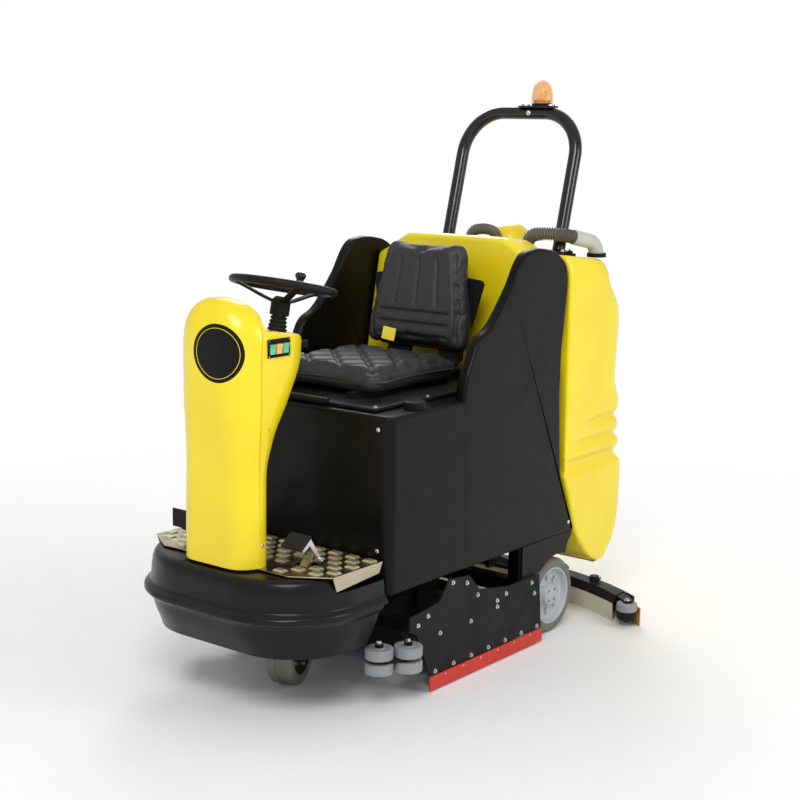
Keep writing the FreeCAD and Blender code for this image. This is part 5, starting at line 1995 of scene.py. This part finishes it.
@dataclass
class RollBar(SubAssembly):
    """The bent tube above the tank, with its lamp plate and turning beacon.

    Attributes:
        base: Foot of the left leg.
        top: Corner of the left leg and the top run, before the bend.
        tube: Radius of the tube.
        bend: Radius of its bends.
        lamp: Place of the beacon's foot.
    """

    base: Vector = field(default_factory=lambda: Vector((236, 613, 1290)))
    top: Vector = field(default_factory=lambda: Vector((236, 736, 1750)))
    tube: float = 22.0
    bend: float = 150.0
    lamp: Vector = field(default_factory=lambda: Vector((72, 736, 1775)))

    def build(self) -> None:
        """Make the bar, its feet and plate, and the beacon."""
        lean = (self.top - self.base).normalized()
        start = self.top - lean * self.bend
        middle = start - LEFT * self.bend
        left = [self.base.lerp(start, k / 8) for k in range(9)]
        for k in range(1, 17):
            t = math.pi / 2 * k / 16
            left.append(middle + LEFT * self.bend * math.cos(t) + lean * self.bend * math.sin(t))
        right = [Vector((-p.x, p.y, p.z)) for p in reversed(left)]
        bar = MeshMaker().sweep([*left, *right], self.tube, 28)
        bar.slab(((-12, 706), (124, 706), (124, 766), (-12, 766)), Plane.PLAN, 1768, 1775, 10, 1.0)
        for side in (1, -1):
            x = side * self.base.x
            flat = ((x - 40, 578), (x + 40, 578), (x + 40, 648), (x - 40, 648))
            bar.slab(flat, Plane.PLAN, 1280.2, 1290, 12, 1.5)
        place("roll_bar_tube", bar.mesh("bar"), Finishes.BAR, "chassis", ("roll_bar",), 0, 40)
        pads = MeshMaker().slab(((188, 570), (284, 570), (284, 656), (188, 656)), Plane.PLAN, 1262, 1280, 14,
                                3)
        place("roll_bar_pads", pads.mirrored().mesh("pads"), Finishes.MATT, "chassis", (), 0, 40)
        foot = ((0, 0), (36, 0), (36, 7), (30, 8), (28, 20), (0, 20))
        place("beacon_foot", MeshMaker().revolve(foot, self.lamp, UP, 56).mesh("foot"), Finishes.MATT,
              "chassis", ("beacon_base",), 0, 40)
        outer = [(31, 8.2), (39, 8.2), (40, 10), (40, 13), (37.5, 15), (37, 28), (36, 40), (34, 52),
                 (30.5, 63),
                 (25.5, 73), (18.5, 81), (10, 86.4), (0, 88)]
        inner = [(0, 85), (9, 83.5), (16, 79), (23, 71), (28, 61), (31, 51), (33, 40), (34, 28), (34, 15),
                 (31, 15)]
        lens = MeshMaker().revolve(outer + inner, self.lamp, UP, 120,
                                   lambda t, z: 1 + (0.014 * math.cos(22 * t) if 15.5 < z < 84 else 0))
        place("beacon_dome", lens.mesh("lens"), Finishes.LENS, "chassis", ("beacon_lens",), 0, 40)
        refine("beacon_rotor", Finishes.MIRROR, 0.4)

    def dress(self) -> None:
        """Bolt the feet and the lamp plate."""
        spots = [(Vector((side * 236 + dx, 613 + dy, 1290)), UP)
                 for side in (1, -1) for dx in (-31, 31) for dy in (-26, 26)]
        spots += [(Vector((x, 736 + dy, 1775)), UP) for x in (4, 116) for dy in (-18, 18)]
        spots.append((Vector((30, 714.2, 1750)), Vector((0, -1, 0))))
        Scatter("roll_bar_bolts", Unit.BOLT, 6, 6, 5, Finishes.STEEL).on(spots, "chassis")


@dataclass
class RearWheels(SubAssembly):
    """The two rear wheels on their stub axles.

    Attributes:
        centre: Distance of a wheel's middle from the machine's, its axle's place and height.
        radius: Radius of the tyre; not used.
    """

    centre: tuple[float, float, float] = (325.5, 450.0, 130.0)
    radius: float = 130.0

    def build(self) -> None:
        """Make tyre and rim on both sides."""
        tread = ((97.2, -32), (112, -32.5), (120, -31), (126, -27), (129.4, -21), (130, -17), (130, -13.5),
                 (127.6, -12), (127.6, -9), (130, -7.5), (130, 7.5), (127.6, 9), (127.6, 12), (130, 13.5),
                 (130, 17),
                 (129.4, 21), (126, 27), (120, 31), (112, 32.5), (97.2, 32))
        dish = ((15.1, -30.5), (34, -30.5), (36, -10), (80, -6), (94, -30), (97.4, -31.5), (97.4, 31.5),
                (94, 32.3),
                (91, 31), (89, 24), (86, 12), (80, 8.5), (72, 7.5), (69, 5), (52, 5), (49, 7.5), (43, 9),
                (39, 14),
                (36.5, 25), (33, 28), (15.1, 28))
        for side, word in ((1, "left"), (-1, "right")):
            centre = Vector((side * self.centre[0], *self.centre[1:]))
            axis = Vector((side, 0, 0))
            body = "rear_wheel_" + word
            tyre = MeshMaker().revolve(tread, centre, axis, 112)
            place("rear_tyre_tread_" + word, tyre.mesh("tyre"), Finishes.TYRE, body, ("rear_tyre_" + word,),
                  0, 40)
            rim = MeshMaker().revolve(dish, centre, axis, 96)
            rim.revolve(((0, 24), (20, 24), (20, 28.5), (17, 31), (0, 31.8)), centre, axis, 40)
            place("rear_rim_dish_" + word, rim.mesh("rim"), Finishes.RIM, body, ("rear_rim_" + word,), 0, 38)

    def dress(self) -> None:
        """Add each rim's spokes and its bolts."""
        for side, word in ((1, "left"), (-1, "right")):
            axis = Vector((side, 0, 0))
            spots, spins, bolts = [], [], []
            aim = UP.rotation_difference(axis).to_matrix()
            for k in range(8):
                t = math.tau * k / 8
                ray = Vector((0, math.cos(t), math.sin(t)))
                centre = Vector((side * (self.centre[0] + 5), self.centre[1], self.centre[2]))
                spots.append((centre + ray * 60.5, axis))
                local = aim.transposed() @ ray
                spins.append(math.degrees(math.atan2(local.y, local.x)))
                if k % 2:
                    bolts.append((Vector((side * (self.centre[0] + 28), *self.centre[1:])) + ray * 24, axis))
            Scatter("rear_rim_spokes_" + word, Unit.RIB, 26, 7, 5,
                    Finishes.RIM).on(spots, "rear_wheel_" + word, spins)
            Scatter("rear_hub_bolts_" + word, Unit.BOLT, 4, 4, 3, Finishes.STEEL).on(bolts,
                                                                                     "rear_wheel_" + word)


# ------------------------------------------------------------------ brush deck
@dataclass
class BrushDeck(SubAssembly):
    """The scrubbing deck between the wheels: housing, side plates, skirts and guard rollers.

    Attributes:
        rollers: Places of the outer and inner guard rollers.
        plate_face: Outer face of a side plate.
        bolts: Length and height of each bolt on a side plate.
    """

    rollers: tuple[tuple[float, float], ...] = ((401.0, -405.0), (349.0, -478.0))
    plate_face: float = 385.5
    bolts: tuple[tuple[float, float], ...] = (
        (-165, 323), (-91, 305), (-32, 253), (127, 219), (77, 207), (78, 187), (-66, 175), (-227, 178),
        (-289, 247), (-338, 229), (276, 221), (293, 181), (-249, 62), (-155, 62), (-61, 62), (33, 62),
        (127, 62),
        (220, 62), (314, 62))

    def build(self) -> None:
        """Finish the metalwork and make rollers and skirts."""
        for node, bevel in (("deck_arm", 1.0), ("deck_housing", 1.2), ("deck_side_plates", 0.8),
                            ("roller_brackets", 0.8), ("brush_motors", 1.5), ("debris_hopper", 1.0)):
            refine(node, Finishes.PAINT, bevel)
        skirt = MeshMaker().slab(((-280, 5), (340, 5), (340, 50), (-280, 50)), Plane.SIDE, 385.6, 390.4, 4,
                                 0.8)
        place("deck_side_skirts", skirt.mirrored().mesh("skirts"), Finishes.RED, "deck", ("side_skirts",), 0,
              40)
        wheel = ((8.1, 0.3), (38, 0.3), (41.5, 1.5), (43, 4), (43, 30), (41.5, 32.5), (38, 33.7), (30, 33.7),
                 (28, 31.5), (18, 31.5), (16, 33.7), (8.1, 33.7))
        for index, spot in enumerate(("outer", "inner")):
            for side, word in ((1, "left"), (-1, "right")):
                x, y = self.rollers[index]
                maker = MeshMaker()
                for z in (112, 157):
                    maker.revolve(wheel, Vector((side * x, y, z)), UP, 56)
                name = "%s_%s" % (spot, word)
                place("guard_roller_" + name, maker.mesh("roller"), Finishes.ROLLER, "roller_" + name,
                      ("deck_roller_" + name,), 0, 40)

    def dress(self) -> None:
        """Bolt the plates, skirts and rollers."""
        spots = [(Vector((side * self.plate_face, y, z)), Vector((side, 0, 0)))
                 for side in (1, -1) for y, z in self.bolts]
        Scatter("deck_plate_bolts", Unit.BOLT, 5.2, 5.2, 5, Finishes.STEEL).on(spots, "deck")
        spots = [(Vector((side * self.plate_face + side * 5, y, 42)), Vector((side, 0, 0)))
                 for side in (1, -1) for y in (-202, -108, -14, 80, 174, 268)]
        Scatter("deck_skirt_rivets", Unit.DOME, 3.4, 3.4, 2, Finishes.STEEL).on(spots, "deck")
        spots = [(Vector((side * x, y, 204)), UP) for side in (1, -1) for x, y in self.rollers]
        Scatter("guard_roller_nuts", Unit.BOLT, 8, 8, 7, Finishes.STEEL).on(spots, "deck")


@dataclass
class Brushes(SubAssembly):
    """The two roller brushes with their spiral rows of tufts.

    Attributes:
        middle: Length places of the two brushes.
        height: Height of their axes.
        half: Half the length of a brush.
        core: Radius of the core.
        tip: Radius at the tufts' tips.
        rows: Rows of tufts round a brush.
        along: Tufts in a row.
    """

    middle: tuple[float, float] = (-100.0, 80.0)
    height: float = 78.0
    half: float = 345.0
    core: float = 46.0
    tip: float = 74.0
    rows: int = 18
    along: int = 46

    def build(self) -> None:
        """Make each brush's core and shaft."""
        for y, word in zip(self.middle, ("front", "rear")):
            base = Vector((-self.half - 20, y, self.height))
            end, full = 2 * self.half + 20, 2 * self.half + 40
            profile = ((0, 0), (15, 0), (15, 20), (self.core, 20), (self.core + 2, 24),
                       (self.core + 2, end - 4),
                       (self.core, end), (15, end), (15, full), (0, full))
            core = MeshMaker().revolve(profile, base, LEFT, 48)
            place("brush_core_" + word, core.mesh("core"), Finishes.MATT, word + "_brush", ("brush_" + word,),
                  0, 40)

    def dress(self) -> None:
        """Set the tufts in spiral rows."""
        for index, word in enumerate(("front", "rear")):
            spots = []
            for row in range(self.rows):
                for step in range(self.along):
                    x = -self.half + 8 + (2 * self.half - 16) * step / (self.along - 1)
                    t = math.tau * (row / self.rows + 0.9 * step / self.along * (1 if index else -1) / 3)
                    way = Vector((0, math.cos(t), math.sin(t)))
                    spots.append((Vector((x, self.middle[index], self.height)) + way * self.core, way))
            Scatter("brush_tufts_" + word, Unit.TUFT, 6.0, 6.0, self.tip - self.core, Finishes.BRISTLE,
                    0.05, 11 + index).on(spots, word + "_brush")


# ------------------------------------------------------------------ squeegee
@dataclass
class Squeegee(SubAssembly):
    """The bowed squeegee behind the machine, its blades, arm and tip rollers.

    Attributes:
        roller: Place of a tip roller.
        radius: Radius of the bow, to its rear face.
        middle: Rear face of the bow at the machine's middle.
    """

    roller: tuple[float, float] = (525.0, 668.0)
    radius: float = 1063.5
    middle: float = 868.0

    def bow(self, x: float, offset: float, z: float) -> Vector:
        """Point on the bow.

        Args:
            x: Place across the machine.
            offset: Distance in front of the rear face.
            z: Height.

        Returns:
            The point.
        """
        r = self.radius - offset
        return Vector((x, self.middle - self.radius + math.sqrt(r * r - x * x), z))

    def _blade(self, name: str, finish: Finish, near: float, far: float, replaces: tuple[str, ...]) -> None:
        """One of the two blades.

        Args:
            name: Name of the piece.
            finish: Its finish.
            near: Least distance from the bow's centre.
            far: Greatest distance from the bow's centre.
            replaces: Frame nodes it stands for.
        """
        mesh = merged_copy("squeegee_blades")
        work = bmesh.new()
        work.from_mesh(mesh)
        middle = Vector((0, self.middle - self.radius))
        other = [f for f in work.faces if not near < (f.calc_center_median().xy / MM - middle).length < far]
        bmesh.ops.delete(work, geom=other, context="FACES")
        work.to_mesh(mesh)
        work.free()
        place(name, mesh, finish, "squeegee", replaces, 0.4, 35)

    def build(self) -> None:
        """Finish casting, blades and arm, and make the rollers."""
        refine("squeegee_body", Finishes.CAST, 1.2)
        self._blade("squeegee_front_blade", Finishes.PALE, 960, 1030, ())
        self._blade("squeegee_rear_blade", Finishes.BLADE, 1030, 1100, ("squeegee_blades",))
        refine("squeegee_arm", Finishes.CAST, 1.2)
        upper = ((7.1, 57), (31, 57), (34.5, 59), (36, 63), (36, 80), (34.5, 84.5), (31, 86), (16, 86),
                 (14, 84),
                 (7.1, 84))
        lower = ((7.1, 28), (29, 28), (32.5, 30), (34, 34), (34, 50), (32.5, 54.5), (29, 56), (7.1, 56))
        for side, word in ((1, "left"), (-1, "right")):
            at = Vector((side * self.roller[0], self.roller[1], 0))
            body = "tip_roller_" + word
            top = MeshMaker().revolve(upper, at, UP, 56)
            place("tip_roller_tyre_" + word, top.mesh("upper"), Finishes.ROLLER, body,
                  ("squeegee_roller_" + word,), 0, 40)
            low = MeshMaker().revolve(lower, at, UP, 56)
            place("tip_roller_foot_" + word, low.mesh("lower"), Finishes.RUBBER, body, (), 0, 40)

    def dress(self) -> None:
        """Add the blade clamps' nuts, the knobs' grips and the roller bolts."""
        spots = [(self.bow(x, 14, 98), UP) for x in range(-480, 481, 80)]
        Scatter("squeegee_clamp_nuts", Unit.BOLT, 4, 4, 3.5, Finishes.STEEL).on(spots, "squeegee")
        grips, spins = [], []
        for x in (-330, -170, 170, 330):
            middle = self.bow(x, 38, 0)
            for k in range(8):
                t = math.tau * k / 8
                way = Vector((math.cos(t), math.sin(t), 0))
                grips.append((Vector((middle.x, middle.y, 109)) + way * 16.0, way))
                spins.append(90.0)
        Scatter("squeegee_knob_grips", Unit.RIB, 5, 18, 3, Finishes.RUBBER).on(grips, "squeegee")
        spots = [(Vector((side * self.roller[0], self.roller[1], 93.5)), UP) for side in (1, -1)]
        Scatter("tip_roller_bolts", Unit.BOLT, 7, 7, 6, Finishes.STEEL).on(spots, "squeegee")


@dataclass
class Chassis(SubAssembly):
    """The welded frame under everything."""

    def build(self) -> None:
        """Finish the frame."""
        refine("main_frame", Finishes.PAINT, 1.2)


@dataclass
class Studio:
    """Floor, lights, surroundings and camera.

    Attributes:
        eye: The camera's place.
        right: The view's right.
        up: The view's up.
        ahead: The view's direction.
        lens: Focal length on a 36 mm sensor.
    """

    eye: Vector = field(default_factory=lambda: Vector((3.0718, -3.8560, 1.7188)))
    right: Vector = field(default_factory=lambda: Vector((0.78448, 0.62002, 0.01300)))
    up: Vector = field(default_factory=lambda: Vector((-0.12070, 0.13210, 0.98386)))
    ahead: Vector = field(default_factory=lambda: Vector((-0.60829, 0.77339, -0.17846)))
    lens: float = 69.38

    def make(self) -> None:
        """Set up the studio."""
        self._floor()
        self._lights()
        self._surroundings()
        self._camera()
        bpy.context.scene.view_settings.view_transform = "Standard"
        LOG.info("Studio: ready")

    @staticmethod
    def _floor() -> None:
        """A plain pale floor that fades into the backdrop."""
        half = 30000.0
        floor = MeshMaker()
        floor.loft([[Vector((-half, -half, 0)), Vector((half, -half, 0))],
                    [Vector((-half, half, 0)), Vector((half, half, 0))]], closed=False, caps=(False, False))
        thing = new_object("floor", floor.mesh("floor"))
        pale = Finish("pale_floor", "", (0.90, 0.90, 0.895), (0.89, 0.89, 0.885), (0.75, 0.85), Grain.RUBBER,
                      0.02)
        made = pale.material()
        tree = made.node_tree
        shader = next(n for n in tree.nodes if n.type == "BSDF_PRINCIPLED")
        result = next(n for n in tree.nodes if n.type == "OUTPUT_MATERIAL")
        where, far = tree.nodes.new("ShaderNodeTexCoord"), tree.nodes.new("ShaderNodeVectorMath")
        far.operation = "LENGTH"
        tree.links.new(where.outputs["Object"], far.inputs[0])
        spread, white, mix = (tree.nodes.new("ShaderNode" + kind)
                              for kind in ("MapRange", "Emission", "MixShader"))
        spread.inputs["From Min"].default_value = 1.3
        spread.inputs["From Max"].default_value = 3.4
        tree.links.new(far.outputs["Value"], spread.inputs["Value"])
        tree.links.new(spread.outputs["Result"], mix.inputs["Fac"])
        tree.links.new(shader.outputs["BSDF"], mix.inputs[1])
        tree.links.new(white.outputs["Emission"], mix.inputs[2])
        tree.links.new(mix.outputs["Shader"], result.inputs["Surface"])
        thing.data.materials.append(made)
        thing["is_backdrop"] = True

    @staticmethod
    def _lights() -> None:
        """Three large soft lights."""
        for name, spot, size, power in (("key", (2.4, -3.6, 4.2), 2.2, 120.0),
                                        ("fill", (4.6, 1.0, 2.6), 2.0, 55.0),
                                        ("back", (-2.6, 3.4, 3.8), 2.4, 90.0)):
            light = bpy.data.lights.new(name, "AREA")
            light.shape = "DISK"
            light.size = size
            light.energy = power
            lamp = bpy.data.objects.new(name, light)
            lamp.location = spot
            lamp.rotation_euler = (Vector((0, 0, 0.7)) - Vector(spot)).to_track_quat("-Z", "Y").to_euler()
            bpy.context.scene.collection.objects.link(lamp)

    @staticmethod
    def _surroundings() -> None:
        """White backdrop that lights the machine gently."""
        world = bpy.data.worlds.new("studio")
        world.use_nodes = True
        tree = world.node_tree
        tree.nodes.clear()
        seen, felt = tree.nodes.new("ShaderNodeBackground"), tree.nodes.new("ShaderNodeBackground")
        seen.inputs["Color"].default_value = felt.inputs["Color"].default_value = (1, 1, 1, 1)
        seen.inputs["Strength"].default_value = 1.0
        felt.inputs["Strength"].default_value = 0.62
        mix, result = tree.nodes.new("ShaderNodeMixShader"), tree.nodes.new("ShaderNodeOutputWorld")
        path = tree.nodes.new("ShaderNodeLightPath")
        tree.links.new(path.outputs["Is Camera Ray"], mix.inputs["Fac"])
        tree.links.new(felt.outputs["Background"], mix.inputs[1])
        tree.links.new(seen.outputs["Background"], mix.inputs[2])
        tree.links.new(mix.outputs["Shader"], result.inputs["Surface"])
        bpy.context.scene.world = world

    def _camera(self) -> None:
        """The camera, looking at the machine's front left corner."""
        data = bpy.data.cameras.new("camera")
        data.lens = self.lens
        data.sensor_width = 36.0
        camera = bpy.data.objects.new("camera", data)
        turn = Matrix((self.right, self.up, -self.ahead)).transposed().to_4x4()
        camera.matrix_world = Matrix.Translation(self.eye) @ turn
        bpy.context.scene.collection.objects.link(camera)
        bpy.context.scene.camera = camera


def main() -> None:
    """Build the machine in order."""
    logging.basicConfig(level=logging.INFO, format="%(name)s: %(message)s")
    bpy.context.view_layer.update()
    Studio().make()
    for group in (Chassis(), FrontCover(), StepPlate(), Column(), ControlDesk(), Steering(), DriveWheel(),
                  Pedals(),
                  SolutionTank(), Batteries(), Seat(), RecoveryTank(), Hoses(), RollBar(), RearWheels(),
                  BrushDeck(), Brushes(), Squeegee()):
        group.make()


if __name__ == "__main__":
    main()
